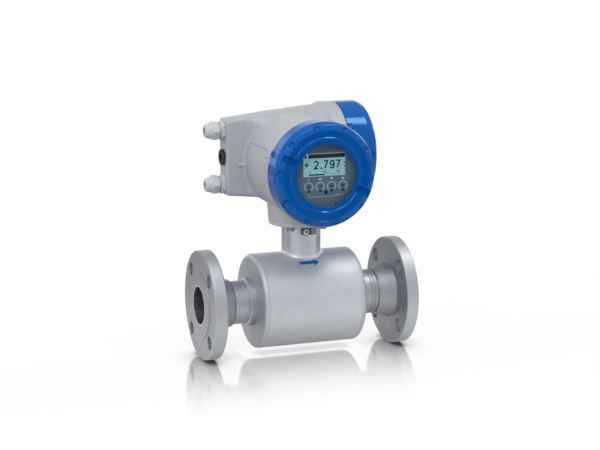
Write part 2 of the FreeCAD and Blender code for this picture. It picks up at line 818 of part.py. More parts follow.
def wing_section(body, label):
    """The outline of one section across the wing."""
    position = label + "_position"
    half_thickness = label + "_half_thickness"
    half_height = label + "_half_height"
    corner = label + "_corner"
    sketch = new_sketch(body, label, "YZ_Plane")
    for axis, text in (("x", "terminal_axis_depth"), ("y", "wing_centre_height"), ("z", position)):
        sketch.setExpression("AttachmentOffset.Base." + axis, linked(text))
    wide = half_thickness
    tall = half_height
    narrow = half_thickness + " - " + corner
    short = half_height + " - " + corner
    far = "0 - " + half_thickness + " + " + corner
    low = "0 - " + half_height + " + " + corner
    sides = [
        ((narrow, tall), (far, tall)),
        (("0 - " + wide, short), ("0 - " + wide, low)),
        ((far, "0 - " + tall), (narrow, "0 - " + tall)),
        ((wide, low), (wide, short)),
    ]
    for first, last in sides:
        ends = [FreeCAD.Vector(amount(along), amount(out), 0) for along, out in (first, last)]
        sketch.addGeometry(Part.LineSegment(*ends), False)
    quarter = math.pi / 2
    radius = amount(corner)
    centres = [(far, short), (far, low), (narrow, low), (narrow, short)]
    for index, (along, out) in enumerate(centres):
        circle = Part.Circle(FreeCAD.Vector(amount(along), amount(out), 0), FreeCAD.Vector(0, 0, 1), radius)
        start = quarter * ((index + 1) % 4)
        sketch.addGeometry(Part.ArcOfCircle(circle, start, start + quarter), False)
    for index in range(4):
        arc = 4 + index
        sketch.addConstraint(Sketcher.Constraint("Coincident", index, 2, arc, 1))
        sketch.addConstraint(Sketcher.Constraint("Coincident", arc, 2, (index + 1) % 4, 1))
        pin(sketch, index, 1, *sides[index][0])
        pin(sketch, index, 2, *sides[index][1])
        along = centres[index][0]
        place_arc = sketch.addConstraint(Sketcher.Constraint("DistanceX", -1, 1, arc, 3, amount(along)))
        sketch.setExpression("Constraints[%d]" % place_arc, linked(along))
    return sketch


wing = doc.addObject("PartDesign::Body", "housing_wing")
sections = [wing_section(wing, label) for label in WING_SECTIONS]
loft = wing.newObject("PartDesign::AdditiveLoft", "wing_loft")
loft.Profile = sections[0]
loft.Sections = sections[1:]
loft.Ruled = True
wing.Tip = loft

nub_at = ("0 - nub_start", "nub_depth", "terminal_axis_height - nub_drop")
nub = rod("housing_nub", "nub_radius", "nub_length", nub_at, Z_TO_X)
casting = fuse("housing_casting", [barrel, side_barrel, wing, base, nub])

front_chamber = rod(
    "front_chamber", "mouth_radius", "front_chamber_depth",
    ("0", "0 - front_chamber_floor", "display_axis_height"), Z_TO_MINUS_Y,
)
TERMINAL_AXIS = ("terminal_axis_depth", "terminal_axis_height")
terminal_mouth = rod(
    "terminal_mouth", "mouth_radius", "terminal_mouth_depth",
    ("terminal_mouth_floor",) + TERMINAL_AXIS, Z_TO_X,
)
terminal_chamber = rod(
    "terminal_chamber", "terminal_chamber_radius", "terminal_mouth_floor + terminal_chamber_floor",
    ("0 - terminal_chamber_floor",) + TERMINAL_AXIS, Z_TO_X,
)
wing_slot = block(
    "wing_slot",
    ("wing_slot_length", "wing_slot_thickness", "wing_slot_height"),
    ("0 - wing_end + wing_wall", "terminal_axis_depth - wing_slot_thickness / 2",
     "wing_centre_height - wing_slot_height / 2"),
)
lead_passage = rod(
    "lead_passage", "lead_passage_radius", "lead_passage_height",
    ("0", "0 - lead_passage_depth", "base_bottom"),
)
feed_hole = rod(
    "feed_hole", "feed_hole_radius", "terminal_axis_depth",
    ("feed_offset", "0 - front_chamber_floor", "terminal_axis_height"), Z_TO_Y,
)
ENTRIES = [
    ("upper", "terminal_axis_height + entry_pitch"),
    ("middle", "terminal_axis_height"),
    ("lower", "terminal_axis_height - entry_pitch"),
]
hollows = [front_chamber, terminal_mouth, terminal_chamber, wing_slot, lead_passage, feed_hole] + base_holes
for entry, height in ENTRIES:
    at = ("0 - wing_end", "terminal_axis_depth", height)
    hollows.append(rod(entry + "_entry_hole", "entry_hole_radius", "gland_thread_length + 1", at, Z_TO_X))

# Sloping flats around the display barrel, behind the cover
for angle in (40, 62, 118, 140):
    lean = FreeCAD.Rotation(FreeCAD.Vector(0, 1, 0), 90 - angle)
    slope = FreeCAD.Rotation(FreeCAD.Vector(1, 0, 0), value("flat_slope"))
    flat = doc.addObject("Part::Box", "flat_%d" % angle)
    for edge_name in ("Length", "Width", "Height"):
        flat.setExpression(edge_name, linked("flat_size"))
    corner = FreeCAD.Vector(-value("flat_size") / 2, -value("flat_size"), 0)
    axis_point = FreeCAD.Vector(0, -value("flat_start"), value("display_axis_height"))
    surface = lean.multVec(FreeCAD.Vector(0, 0, value("barrel_radius")))
    flat.Placement = FreeCAD.Placement(axis_point + surface + (lean * slope).multVec(corner), lean * slope)
    hollows.append(flat)


def barrel_relief(label, angles, front, back, depth):
    """A shallow recess in the side of the display barrel, between two angles."""
    first, last = angles
    turn = Z_TO_Y * FreeCAD.Rotation(FreeCAD.Vector(0, 0, 1), -last)
    at = ("0", "0 - " + front, "display_axis_height")
    outside = rod(label + "_outside", "barrel_radius + " + depth, front + " + " + back, at, turn)
    outside.Angle = last - first
    inside = rod(label + "_inside", "barrel_radius - " + depth, front + " + " + back, at, turn)
    return cut(label, outside, [inside])


RELIEFS = [
    ("side_relief", (155, 209), "side_relief_front", "side_relief_back", "side_relief_depth"),
    ("lock_relief", (162, 180), "lock_relief_front", "0 - lock_relief_back", "lock_relief_depth"),
]
for relief in RELIEFS:
    hollows.append(barrel_relief(*relief))
node(cut("converter_housing", casting, hollows), "converter_housing")

# Covers
def screwed_cover(label, inside, extra):
    """A cover with grip pockets around the shoulder, two spanner slots and a lug for its lock screw.

    A narrow gap shows where its rim meets the housing, and a shallow ring is sunk in its front.

    The terminal cover is deeper than the display cover by the extra length.
    """
    side = "cover_side + " + extra
    shoulder = "cover_shoulder + " + extra
    front = "cover_depth + " + extra
    outside = [
        ("0 - spigot_length", "spigot_bore_radius"),
        ("0 - spigot_length", "spigot_radius"),
        ("seal_groove_depth", "spigot_radius"),
        ("seal_groove_depth", "seal_groove_radius"),
        ("0", "seal_groove_radius"),
        ("0", "cover_radius - seam_gap_depth"),
        ("seam_gap", "cover_radius - seam_gap_depth"),
        ("seam_gap", "cover_radius"),
        (side, "cover_radius"),
        (shoulder, "cover_shoulder_radius"),
        (front, "cover_front_radius"),
        (front + " - ring_recess", "cover_front_radius - ring_recess"),
        (front + " - ring_recess", "ring_inner_radius + ring_recess"),
        (front, "ring_inner_radius"),
    ]
    rounds = [
        (side, "cover_radius", "cover_round"),
        (shoulder, "cover_shoulder_radius", "cover_round"),
        (front, "cover_front_radius", "cover_lip_round"),
    ]
    blank = turned(label + "_blank", outside + inside, rounds)
    lug_size = ("lug_length", "lug_top - seal_groove_radius", "lug_width")
    lug = block(label + "_lug", lug_size, ("lug_start", "seal_groove_radius", "0 - lug_width / 2"))
    body = fuse(label + "_with_lug", [blank, lug])
    tools = []
    for index in range(int(value("pocket_count"))):
        angle = (index + 0.5) * 360 / value("pocket_count")
        ball = doc.addObject("Part::Sphere", "%s_pocket_%d" % (label, index))
        ball.setExpression("Radius", linked("pocket_radius"))
        tools.append(place(ball, (
            front + " - pocket_setback",
            "pocket_circle_radius * cos(%g deg)" % angle,
            "pocket_circle_radius * sin(%g deg)" % angle,
        )))
    slot_size = ("slot_depth + 1", "slot_outer - slot_inner", "slot_width")
    for end, start in (("near", "slot_inner"), ("far", "0 - slot_outer")):
        at = (front + " - slot_depth", start, "0 - slot_width / 2")
        tools.append(block("%s_%s_slot" % (label, end), slot_size, at))
    screw_at = ("lock_screw_centre", "lock_screw_foot", "0")
    tools.append(rod(label + "_screw_hole", "lock_screw_radius", "lock_screw_length + 1", screw_at, Z_TO_Y))
    return cut(label, body, tools)


def lock_screw(label):
    """Grub screw with a hexagon socket, standing along Y in the lug."""
    at = ("lock_screw_centre", "lock_screw_foot", "0")
    body = rod(label + "_body", "lock_screw_radius", "lock_screw_length - lock_screw_sink", at, Z_TO_Y)
    socket_at = ("lock_screw_centre", "lug_top - lock_screw_socket_depth", "0")
    socket = hexagon(label + "_socket", "lock_screw_radius / 2", "lock_screw_length", socket_at, Z_TO_Y)
    return cut(label, body, [socket])


def ring(label, start, end, bore, radius):
    return turned(label, [(start, bore), (end, bore), (end, radius), (start, radius)])


def spin(angle_name):
    return FreeCAD.Rotation(FreeCAD.Vector(1, 0, 0), value(angle_name))


WINDOW_RIM = [
    ("cover_depth", "window_ring_radius"),
    ("window_front", "window_ring_radius - window_recess"),
    ("window_front", "window_radius"),
    ("window_seat", "window_radius"),
    ("window_seat", "glass_seat_radius"),
    ("retainer_back", "glass_seat_radius"),
    ("retainer_back", "spigot_bore_radius"),
]
BLIND_WALL = [
    ("cover_depth + terminal_cover_extra", "0"),
    ("blind_inside", "0"),
    ("blind_inside", "spigot_bore_radius"),
]
TERMINAL_CENTRE = ("terminal_seam", "terminal_axis_depth", "terminal_axis_height")
COVERS = [
    ("display", WINDOW_RIM, "0", DISPLAY_CENTRE, AHEAD * spin("display_cover_turn")),
    ("terminal", BLIND_WALL, "terminal_cover_extra", TERMINAL_CENTRE, spin("terminal_cover_turn")),
]
for side, inside, extra, at, turn in COVERS:
    node(place(screwed_cover(side + "_cover", inside, extra), at, turn), side + "_cover")
    node(place(lock_screw(side + "_lock_screw"), at, turn), side + "_lock_screw")
    seal = ring(side + "_cover_seal", "0", "seal_groove_depth", "seal_inner_radius", "seal_outer_radius")
    node(place(seal, at, turn), side + "_cover_seal")

# Window: gasket, glass and the ring that holds them in the display cover
gasket = ring("window_gasket", "glass_front", "window_seat", "gasket_bore_radius", "glass_radius")
node(place(gasket, DISPLAY_CENTRE, AHEAD), "window_gasket")
glass = turned("window_glass", [
    ("glass_back", "0"),
    ("glass_back", "glass_radius"),
    ("glass_front", "glass_radius"),
    ("glass_front", "0"),
])
node(place(glass, DISPLAY_CENTRE, AHEAD), "window_glass")
retainer = ring("window_retainer", "retainer_back", "glass_back", "retainer_bore_radius", "glass_radius")
node(place(retainer, DISPLAY_CENTRE, AHEAD), "window_retainer")

# Display plate with the opening for the screen, and the boards behind it
plate_blank = turned("display_plate_blank", [
    ("display_plate_rear", "display_plate_bore_radius"),
    ("display_plate_rear", "display_plate_radius"),
    ("display_front", "display_plate_radius"),
    ("display_front", "0"),
    ("display_plate_back", "0"),
    ("display_plate_back", "display_plate_bore_radius"),
])
place(plate_blank, ("0", "0", "display_axis_height"), AHEAD)
screen_opening = block(
    "screen_opening",
    ("lcd_width + 2 * lcd_clearance", "display_plate_wall + 2", "lcd_height + 2 * lcd_clearance"),
    ("0 - lcd_width / 2 - lcd_clearance", "0 - display_front - 1", "lcd_bottom - lcd_clearance"),
)
node(cut("display_plate", plate_blank, [screen_opening]), "display_plate")
screen = block(
    "lcd_panel",
    ("lcd_width", "lcd_depth", "lcd_height"),
    ("0 - lcd_width / 2", "0 - lcd_front", "lcd_bottom"),
)
node(screen, "lcd_panel")


def board(label, back, thickness, radius):
    return rod(label, radius, thickness, ("0", "0 - " + back, "display_axis_height"), Z_TO_MINUS_Y)


def spacers(label, back, length):
    """Four posts between two boards."""
    posts = []
    for index, (sign_x, sign_z) in enumerate(SCREW_CORNERS):
        at = (
            "%d * spacer_offset" % sign_x,
            "0 - " + back,
            "display_axis_height + %d * spacer_offset" % sign_z,
        )
        posts.append(rod("%s_%d" % (label, index), "spacer_radius", length, at, Z_TO_MINUS_Y))
    return node(group(label, posts), label)


carrier_disc = board("carrier_disc", "front_chamber_floor", "carrier_thickness", "carrier_radius")
carrier_opening = rod(
    "carrier_opening", "carrier_feed_radius", "carrier_thickness",
    ("feed_offset", "0 - front_chamber_floor", "terminal_axis_height"), Z_TO_MINUS_Y,
)
node(cut("electronics_carrier", carrier_disc, [carrier_opening]), "electronics_carrier")
spacers("lower_spacers", "carrier_front", "lower_spacer_length")
node(board("power_board", "power_board_back", "board_thickness", "board_radius"), "power_board")
spacers("middle_spacers", "power_board_front", "middle_spacer_length")
node(board("signal_board", "signal_board_back", "board_thickness", "board_radius"), "signal_board")
spacers("upper_spacers", "signal_board_front", "upper_spacer_length")
display_board = board("display_board", "display_board_back", "board_thickness", "display_plate_radius")
node(display_board, "display_board")
transformer = block(
    "power_transformer",
    ("transformer_length", "transformer_height", "transformer_width"),
    ("0 - transformer_length / 2", "0 - power_board_front - transformer_height",
     "display_axis_height - transformer_width / 2"),
)
node(transformer, "power_transformer")
feed = turned("wire_feed", [
    ("front_chamber_floor - feed_reach", "0"),
    ("front_chamber_floor - feed_reach", "feed_radius"),
    ("front_chamber_floor", "feed_radius"),
    ("front_chamber_floor", "feed_flange_radius"),
    ("front_chamber_floor + feed_flange_height", "feed_flange_radius"),
    ("front_chamber_floor + feed_flange_height", "0"),
])
node(place(feed, ("feed_offset", "0", "terminal_axis_height"), AHEAD), "wire_feed")

# Terminal plate with a slot for the cable cores, and the terminal block on it
terminal_disc = rod(
    "terminal_disc", "terminal_plate_radius", "terminal_plate_thickness",
    ("terminal_plate_start",) + TERMINAL_AXIS, Z_TO_X,
)
core_slot = block(
    "core_slot",
    ("terminal_plate_thickness", "core_slot_thickness", "core_slot_height"),
    ("terminal_plate_start", "terminal_axis_depth - core_slot_thickness / 2",
     "wing_centre_height - core_slot_height / 2"),
)
node(cut("terminal_plate", terminal_disc, [core_slot]), "terminal_plate")
terminal_corner = (
    "terminal_plate_front", "terminal_axis_depth + terminal_block_offset",
    "terminal_axis_height - terminal_block_height / 2",
)
terminal_lengths = ("terminal_block_depth", "terminal_block_width", "terminal_block_height")
terminal_body = block("terminal_body", terminal_lengths, terminal_corner)
terminal_openings = []
for index in range(int(value("terminal_count"))):
    middle = terminal_corner[2] + " + terminal_pitch * %g" % (index + 0.5)
    screw_row = terminal_corner[1] + " + terminal_screw_row"
    screw_at = ("terminal_block_front - terminal_screw_depth", screw_row, middle)
    terminal_openings.append(
        rod("terminal_screw_%d" % index, "terminal_screw_radius", "terminal_screw_depth", screw_at, Z_TO_X)
    )
    terminal_openings.append(block(
        "terminal_wire_%d" % index,
        ("terminal_wire_depth", "terminal_wire_width", "terminal_wire_width"),
        ("terminal_block_front - terminal_wire_depth", terminal_corner[1] + " + terminal_wire_row",
         middle + " - terminal_wire_width / 2"),
    ))
node(cut("terminal_block", terminal_body, terminal_openings), "terminal_block")


def chamfered_hexagon(label, start, end, turn):
    """Hexagon of a gland along X, with the corners turned off at both ends."""
    at = (start, "0", "0")
    prism = hexagon(label + "_prism", "gland_hex_corner", end + " - " + start, at, turn * Z_TO_X)
    limit = turned(label + "_limit", [
        (start, "0"),
        (start, "gland_hex_edge"),
        (start + " + hex_chamfer", "gland_hex_corner"),
        (end + " - hex_chamfer", "gland_hex_corner"),
        (end, "gland_hex_edge"),
        (end, "0"),
    ])
    shape = doc.addObject("Part::MultiCommon", label)
    shape.Shapes = [prism, limit]
    return shape


# Cable glands
for entry, height in (ENTRIES[0], ENTRIES[2]):
    at = ("0 - wing_end", "terminal_axis_depth", height)
    stem = turned(entry + "_gland_stem", [
        ("0 - gland_thread_length", "gland_bore_radius"),
        ("0 - gland_thread_length", "entry_thread_radius"),
        ("0", "entry_thread_radius"),
        ("gland_hex_height", "entry_thread_radius"),
        ("gland_hex_height", "gland_neck_radius"),
        ("gland_neck_end", "gland_neck_radius"),
        ("gland_neck_end", "gland_bore_radius"),
    ])
    nut_of_stem = chamfered_hexagon(entry + "_gland_hex", "0", "gland_hex_height", STRAIGHT)
    stem_bore = rod(entry + "_gland_bore", "gland_bore_radius", "gland_hex_height", NOWHERE, Z_TO_X)
    hex_ring = cut(entry + "_gland_hex_ring", nut_of_stem, [stem_bore])
    gland = fuse(entry + "_gland_body", [stem, hex_ring])
    node(place(gland, at, LEFTWARD), entry + "_gland_body")
    seal = ring(entry + "_gland_seal", "seal_start", "seal_end", "cable_radius", "seal_radius")
    node(place(seal, at, LEFTWARD), entry + "_gland_seal")
    clamp = ring(entry + "_clamp_ring", "gland_neck_end", "clamp_ring_end",
                 "clamp_bore_radius", "gland_neck_radius")
    node(place(clamp, at, LEFTWARD), entry + "_clamp_ring")
    dome = turned(entry + "_dome", [
        ("nut_start", "nut_bore_radius"),
        ("nut_start", "nut_dome_radius"),
        ("nut_hex_end", "nut_dome_radius"),
        ("nut_end", "nut_tip_radius"),
        ("nut_end", "nut_tip_bore_radius"),
        ("nut_inner_end", "nut_tip_bore_radius"),
        ("nut_inner_end", "clamp_bore_radius"),
        ("clamp_ring_end", "clamp_bore_radius"),
        ("clamp_ring_end", "nut_bore_radius"),
    ], [("nut_end", "nut_tip_radius", "nut_dome_round")])
    flats = chamfered_hexagon(entry + "_nut_flats", "nut_start", "nut_hex_end", FLATS_UP)
    nut_at = ("nut_start", "0", "0")
    nut_bore = rod(entry + "_nut_bore", "nut_bore_radius", "nut_hex_height", nut_at, Z_TO_X)
    nut_flats = cut(entry + "_nut_flats_ring", flats, [nut_bore])
    cap = fuse(entry + "_gland_nut", [dome, nut_flats])
    node(place(cap, at, LEFTWARD), entry + "_gland_nut")

# Blind plug in the middle entry
PLUG_AT = ("0 - wing_end", "terminal_axis_depth", "terminal_axis_height")
plug_blank = turned("plug_blank", [
    ("0 - gland_thread_length", "0"),
    ("0 - gland_thread_length", "entry_thread_radius"),
    ("plug_seal_thickness", "entry_thread_radius"),
    ("plug_seal_thickness", "plug_head_radius"),
    ("plug_end", "plug_head_radius"),
    ("plug_end", "0"),
], [("plug_end", "plug_head_radius", "plug_head_round")])
plug_hex_at = ("plug_socket_floor", "0", "0")
plug_hex = hexagon("plug_hex", "plug_socket_corner", "plug_socket_depth", plug_hex_at, Z_TO_X)
node(place(cut("blind_plug", plug_blank, [plug_hex]), PLUG_AT, LEFTWARD), "blind_plug")
plug_seal = ring("plug_seal", "0", "plug_seal_thickness", "entry_hole_radius", "plug_seal_outer_radius")
node(place(plug_seal, PLUG_AT, LEFTWARD), "plug_seal")

doc.recompute()
for thing in doc.Objects:
    if "Invalid" in thing.State or "Error" in thing.State:
        raise RuntimeError("%s did not build: %s" % (thing.Label, thing.State))
os.makedirs("parts", exist_ok=True)
for piece in nodes:
    if piece.Shape.isNull() or not piece.Shape.isValid():
        raise RuntimeError("%s has no valid shape" % piece.Label)
    piece.Shape.exportStep("parts/%s.step" % piece.Label)
print("%d pieces written" % len(nodes))
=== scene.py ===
import json
import math
from collections import namedtuple

import bmesh
import bpy
from mathutils import Matrix, Vector
from mathutils.bvhtree import BVHTree


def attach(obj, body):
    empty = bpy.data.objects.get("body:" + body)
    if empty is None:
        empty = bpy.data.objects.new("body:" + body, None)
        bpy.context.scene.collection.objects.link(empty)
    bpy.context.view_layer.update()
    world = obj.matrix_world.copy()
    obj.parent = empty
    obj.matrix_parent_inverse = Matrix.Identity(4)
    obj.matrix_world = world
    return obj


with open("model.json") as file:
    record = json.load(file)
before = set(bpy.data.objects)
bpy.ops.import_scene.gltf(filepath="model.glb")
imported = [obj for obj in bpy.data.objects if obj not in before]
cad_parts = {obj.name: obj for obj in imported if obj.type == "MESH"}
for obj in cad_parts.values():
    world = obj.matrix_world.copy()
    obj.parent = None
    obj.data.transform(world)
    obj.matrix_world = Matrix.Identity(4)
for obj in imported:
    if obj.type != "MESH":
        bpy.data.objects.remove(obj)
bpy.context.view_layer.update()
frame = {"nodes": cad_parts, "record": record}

MM = 0.001
nodes = frame["nodes"]

# Places and sizes in the CAD frame that the added pieces and the finishes follow, in millimetres
display_axis = 189
display_seam = 66
barrel_radius = 68.5
plate_face = -91.9
screen_face = -91.3
shell_radius = 66
terminal_axis_depth = 60
terminal_axis_height = 195.5
terminal_seam = 69.5
wing_end = 94
entry_pitch = 38
bore_radius = 26.25
flange_radius = 76.2
flange_back = 132
hub_end = 106.9
collar_end = 86
collar_bevel = 2.5
neck_flange_bottom = 107.5
base_bottom = 111.5
earth_screw_place = (-5, 100.5)
earth_screw_face = -36.8
print_depth = 0.12

# Photograph: 600 by 450 pixels, taken from the front left and a little above
photo_width = 600
photo_focus = 1674.63
view_azimuth = math.radians(-19.879)
view_elevation = math.radians(11.409)
view_target = Vector((-1.444, 0, 103.298)) * MM
view_distance = 2342.8 * MM
floor_height = -flange_radius * MM

WHITE = (1, 1, 1, 1)


# Shader building
def linear(red, green, blue):
    """A colour as a picture shows it, 0 to 255, turned into the light that a shader works with."""
    parts = []
    for part in (red, green, blue):
        share = part / 255
        parts.append(share / 12.92 if share <= 0.04045 else ((share + 0.055) / 1.055) ** 2.4)
    return (*parts, 1.0)


def shade(colour, factor):
    """A colour made lighter or darker by a factor."""
    return tuple(min(part * factor, 1.0) for part in colour[:3]) + (1.0,)


def grey(level):
    """A grey of the given light."""
    return (level, level, level, 1)


class Shading:
    """The node tree of a material or world, with short ways to add and join its nodes."""

    def __init__(self, tree):
        self.tree = tree

    def add(self, kind, **settings):
        """New shader node. A setting that names an input sets that input, and any other sets the node."""
        made = self.tree.nodes.new("ShaderNode" + kind)
        for name, value in settings.items():
            title = name.replace("_", " ")
            if title in made.inputs:
                made.inputs[title].default_value = value
            else:
                setattr(made, name, value)
        return made

    def link(self, start, end):
        """Join an output to an input."""
        self.tree.links.new(start, end)

    def ramp(self, source, span, low=0.0, high=1.0, curve="LINEAR"):
        """A value that goes from low to high while a source crosses a span."""
        change = self.add("MapRange", interpolation_type=curve,
                          From_Min=span[0], From_Max=span[1], To_Min=low, To_Max=high)
        self.link(source, change.inputs["Value"])
        return change.outputs["Result"]

    def smooth_ramp(self, source, span, low=0.0, high=1.0):
        """A ramp that starts and ends gently."""
        return self.ramp(source, span, low, high, "SMOOTHSTEP")

    def joined(self, operation, first, second):
        """Two values joined by an operation of the Math node."""
        result = self.add("Math", operation=operation)
        self.link(first, result.inputs[0])
        self.link(second, result.inputs[1])
        return result.outputs[0]

    def product(self, first, *others):
        """Values multiplied together."""
        result = first
        for other in others:
            result = self.joined("MULTIPLY", result, other)
        return result

    def without_sign(self, value):
        """A value with its minus sign taken off."""
        result = self.add("Math", operation="ABSOLUTE")
        self.link(value, result.inputs[0])
        return result.outputs[0]

    def coordinate(self, place, axis):
        """One coordinate of a place."""
        axes = self.add("SeparateXYZ")
        self.link(place, axes.inputs[0])
        return axes.outputs[axis]

    def length(self, place):
        """Distance of a place from the origin."""
        result = self.add("VectorMath", operation="LENGTH")
        self.link(place, result.inputs[0])
        return result.outputs["Value"]

    def mixed(self, share, first, second):
        """One shader that turns into another as a share goes from 0 to 1."""
        mix = self.add("MixShader")
        for source, socket in zip((share, first, second), mix.inputs):
            self.link(source, socket)
        return mix.outputs[0]


class Surface(Shading):
    """A principled material whose details are added one at a time. Lengths are in millimetres."""

    # Levels that most of a noise lies between
    noise_span = (0.3, 0.7)
    # Radians that a wave texture runs through in one unit of length
    wave_rate = 20

    def __init__(self, name, colour, roughness, metallic=0.0):
        self.material = bpy.data.materials.new(name)
        self.material.use_nodes = True
        super().__init__(self.material.node_tree)
        self.shader = self.tree.nodes["Principled BSDF"]
        self.set(Base_Color=colour, Roughness=roughness, Metallic=metallic)
        self.place = self.add("TexCoord").outputs["Object"]
        self.colour = colour
        self.roughness = roughness
        self.relief = None

    def set(self, **values):
        """Set inputs of the principled shader by name."""
        for name, value in values.items():
            self.shader.inputs[name.replace("_", " ")].default_value = value

    def noise(self, size, detail=3.0, stretch=(1, 1, 1)):
        """Noise with patches of about the given size, drawn out along an axis by its stretch."""
        spread = self.add("Mapping", Scale=[1 / (size * MM * part) for part in stretch])
        self.link(self.place, spread.inputs["Vector"])
        texture = self.add("TexNoise", Scale=1.0, Detail=detail)
        self.link(spread.outputs["Vector"], texture.inputs["Vector"])
        return texture.outputs["Fac"]

    def rings(self, spacing, direction):
        """Fine turning marks around one axis."""
        rate = 2 * math.pi / (self.wave_rate * spacing * MM)
        texture = self.add("TexWave", wave_type="RINGS", rings_direction=direction,
                           Scale=rate, Distortion=0.6, Detail=2.0)
        self.link(self.place, texture.inputs["Vector"])
        return texture.outputs["Fac"]

    def vary_colour(self, pattern, spread):
        """Lighten and darken the colour by a share, following a pattern."""
        scale = self.add("ValToRGB")
        stops = scale.color_ramp.elements
        for stop, position, factor in zip(stops, self.noise_span, (1 - spread, 1 + spread)):
            stop.position = position
            stop.color = shade(self.colour, factor)
        self.link(pattern, scale.inputs["Fac"])
        self.link(scale.outputs["Color"], self.shader.inputs["Base Color"])

    def vary_roughness(self, pattern, spread):
        """Make the surface rougher and smoother by a share, following a pattern."""
        level = self.ramp(pattern, self.noise_span, self.roughness - spread, self.roughness + spread)
        self.link(level, self.shader.inputs["Roughness"])

    def along(self, axis):
        """Distance along one axis of the frame."""
        return self.coordinate(self.place, axis)

    def end_distance(self):
        """Distance from the middle of the pipe towards either end."""
        return self.without_sign(self.along("X"))

    def pipe_radius(self):
        """Distance from the axis of the pipe."""
        across = self.add("VectorMath", operation="MULTIPLY")
        across.inputs[1].default_value = (0, 1, 1)
        self.link(self.place, across.inputs[0])
        return self.length(across.outputs["Vector"])

    def within(self, measure, start, end, soft=0.2):
        """A share that is 1 where a measure lies between two lengths, with soft ends."""
        rise = self.ramp(measure, ((start - soft) * MM, start * MM))
        fall = self.ramp(measure, (end * MM, (end + soft) * MM), 1.0, 0.0)
        return self.product(rise, fall)

    def tint(self, share, factor):
        """Multiply the colour by a factor where a share is 1."""
        scaled = self.add("VectorMath", operation="SCALE")
        self.link(self.shader.inputs["Base Color"].links[0].from_socket, scaled.inputs[0])
        self.link(self.ramp(share, (0.0, 1.0), 1.0, factor), scaled.inputs["Scale"])
        self.link(scaled.outputs["Vector"], self.shader.inputs["Base Color"])

    def bump(self, pattern, height, strength):
        """Raise the face by a pattern. A second call adds its relief to the first."""
        relief = self.add("Bump", Strength=strength, Distance=height * MM)
        self.link(pattern, relief.inputs["Height"])
        if self.relief:
            self.link(self.relief, relief.inputs["Normal"])
        self.relief = relief.outputs["Normal"]
        self.link(self.relief, self.shader.inputs["Normal"])

    def soften_edges(self, radius):
        """Catch the light along sharp edges, as a small real radius does."""
        edge = self.add("Bevel", samples=6, Radius=radius * MM)
        self.relief = edge.outputs["Normal"]
        self.link(self.relief, self.shader.inputs["Normal"])


def stainless(name, colour, roughness, metallic=1.0, edge=0.4):
    """Satin steel: a blasted grain, and faint clouds where the finish differs."""
    surface = Surface(name, colour, roughness, metallic)
    surface.soften_edges(edge)
    surface.vary_colour(surface.noise(size=26, detail=4), spread=0.035)
    surface.vary_roughness(surface.noise(size=9, detail=5), spread=0.045)
    surface.bump(surface.noise(size=0.55, detail=2), height=0.02, strength=0.25)
    return surface


def plastic(name, colour, roughness, grain=0.6):
    """Moulded plastic with a fine grain and slightly uneven gloss."""
    surface = Surface(name, colour, roughness)
    surface.vary_colour(surface.noise(size=11), spread=0.05)
    surface.vary_roughness(surface.noise(size=4), spread=0.05)
    surface.bump(surface.noise(size=grain, detail=2), height=0.02, strength=0.2)
    return surface


# Steel of the pipe, the shell and the neck
STEEL = linear(225, 228, 234)
shell_steel = stainless("shell_steel", STEEL, roughness=0.54, metallic=0.8)
# End plates get a darker copy of the shell steel: painted shade
shaded_plate_steel = stainless("shaded_plate_steel", shade(STEEL, 0.9), roughness=0.54, metallic=0.8)
turned_steel = stainless("turned_steel", shade(STEEL, 0.84), roughness=0.5, edge=1.0)
turned_steel.bump(turned_steel.rings(spacing=0.8, direction="X"), height=0.02, strength=0.35)
tube_steel = stainless("tube_steel", shade(STEEL, 0.75), roughness=0.46)
tube_grain = tube_steel.noise(size=0.5, stretch=(0.6, 14, 14))
tube_steel.bump(tube_grain, height=0.015, strength=0.3)
neck_steel = stainless("neck_steel", shade(STEEL, 0.93), roughness=0.34, metallic=0.8)
neck_grain = neck_steel.noise(size=0.6, stretch=(12, 12, 0.6))
neck_steel.bump(neck_grain, height=0.012, strength=0.3)

# Painted shade and painted highlights on that steel
bore_skin = 0.05
bore_rim = 0.3
face_start = bore_radius + bore_rim
bore_edge_width = 1.5
rim_margin = 3
hub_shadow_line_width = 1.8
neck_weld_highlight_height = 4
# Painted shade darkening the bores, with darker painted streaks of reflection along them
for steel in (turned_steel, tube_steel):
    bore_shade = steel.within(steel.pipe_radius(), 0, bore_radius + bore_skin, soft=bore_skin)
    reflection_streaks = steel.noise(size=7, detail=1, stretch=(60, 1, 1))
    steel.tint(bore_shade, 0.75)
    steel.tint(steel.product(bore_shade, reflection_streaks), 0.25)
flange_reach = turned_steel.pipe_radius()
pipe_place = turned_steel.end_distance()
# Painted shade: flange faces and hubs darker than the rims
shaded_flange_faces = turned_steel.within(flange_reach, face_start, flange_radius - rim_margin, soft=1)
shaded_hubs = turned_steel.within(pipe_place, hub_end, flange_back)
# Painted highlights along the edges of the bores and the bevels of the collars
bore_edge_highlight = turned_steel.within(flange_reach, face_start, face_start + bore_edge_width)
collar_rim_highlights = turned_steel.within(pipe_place, collar_end - collar_bevel, collar_end)
for area, factor in ((shaded_flange_faces, 0.86), (shaded_hubs, 0.88), (bore_edge_highlight, 1.5), (collar_rim_highlights, 1.5)):
    turned_steel.tint(area, factor)
# Painted shadow line on the tube at the foot of the inlet hub
hub_shadow_line = tube_steel.within(tube_steel.along("X"), -hub_end, -hub_end + hub_shadow_line_width)
tube_steel.tint(hub_shadow_line, 0.3)
neck_reach = neck_steel.pipe_radius()
# Painted highlight on the weld at the foot of the neck
neck_weld_highlight = neck_steel.within(neck_reach, shell_radius, shell_radius + neck_weld_highlight_height, soft=0.6)
neck_steel.tint(neck_weld_highlight, 1.3)
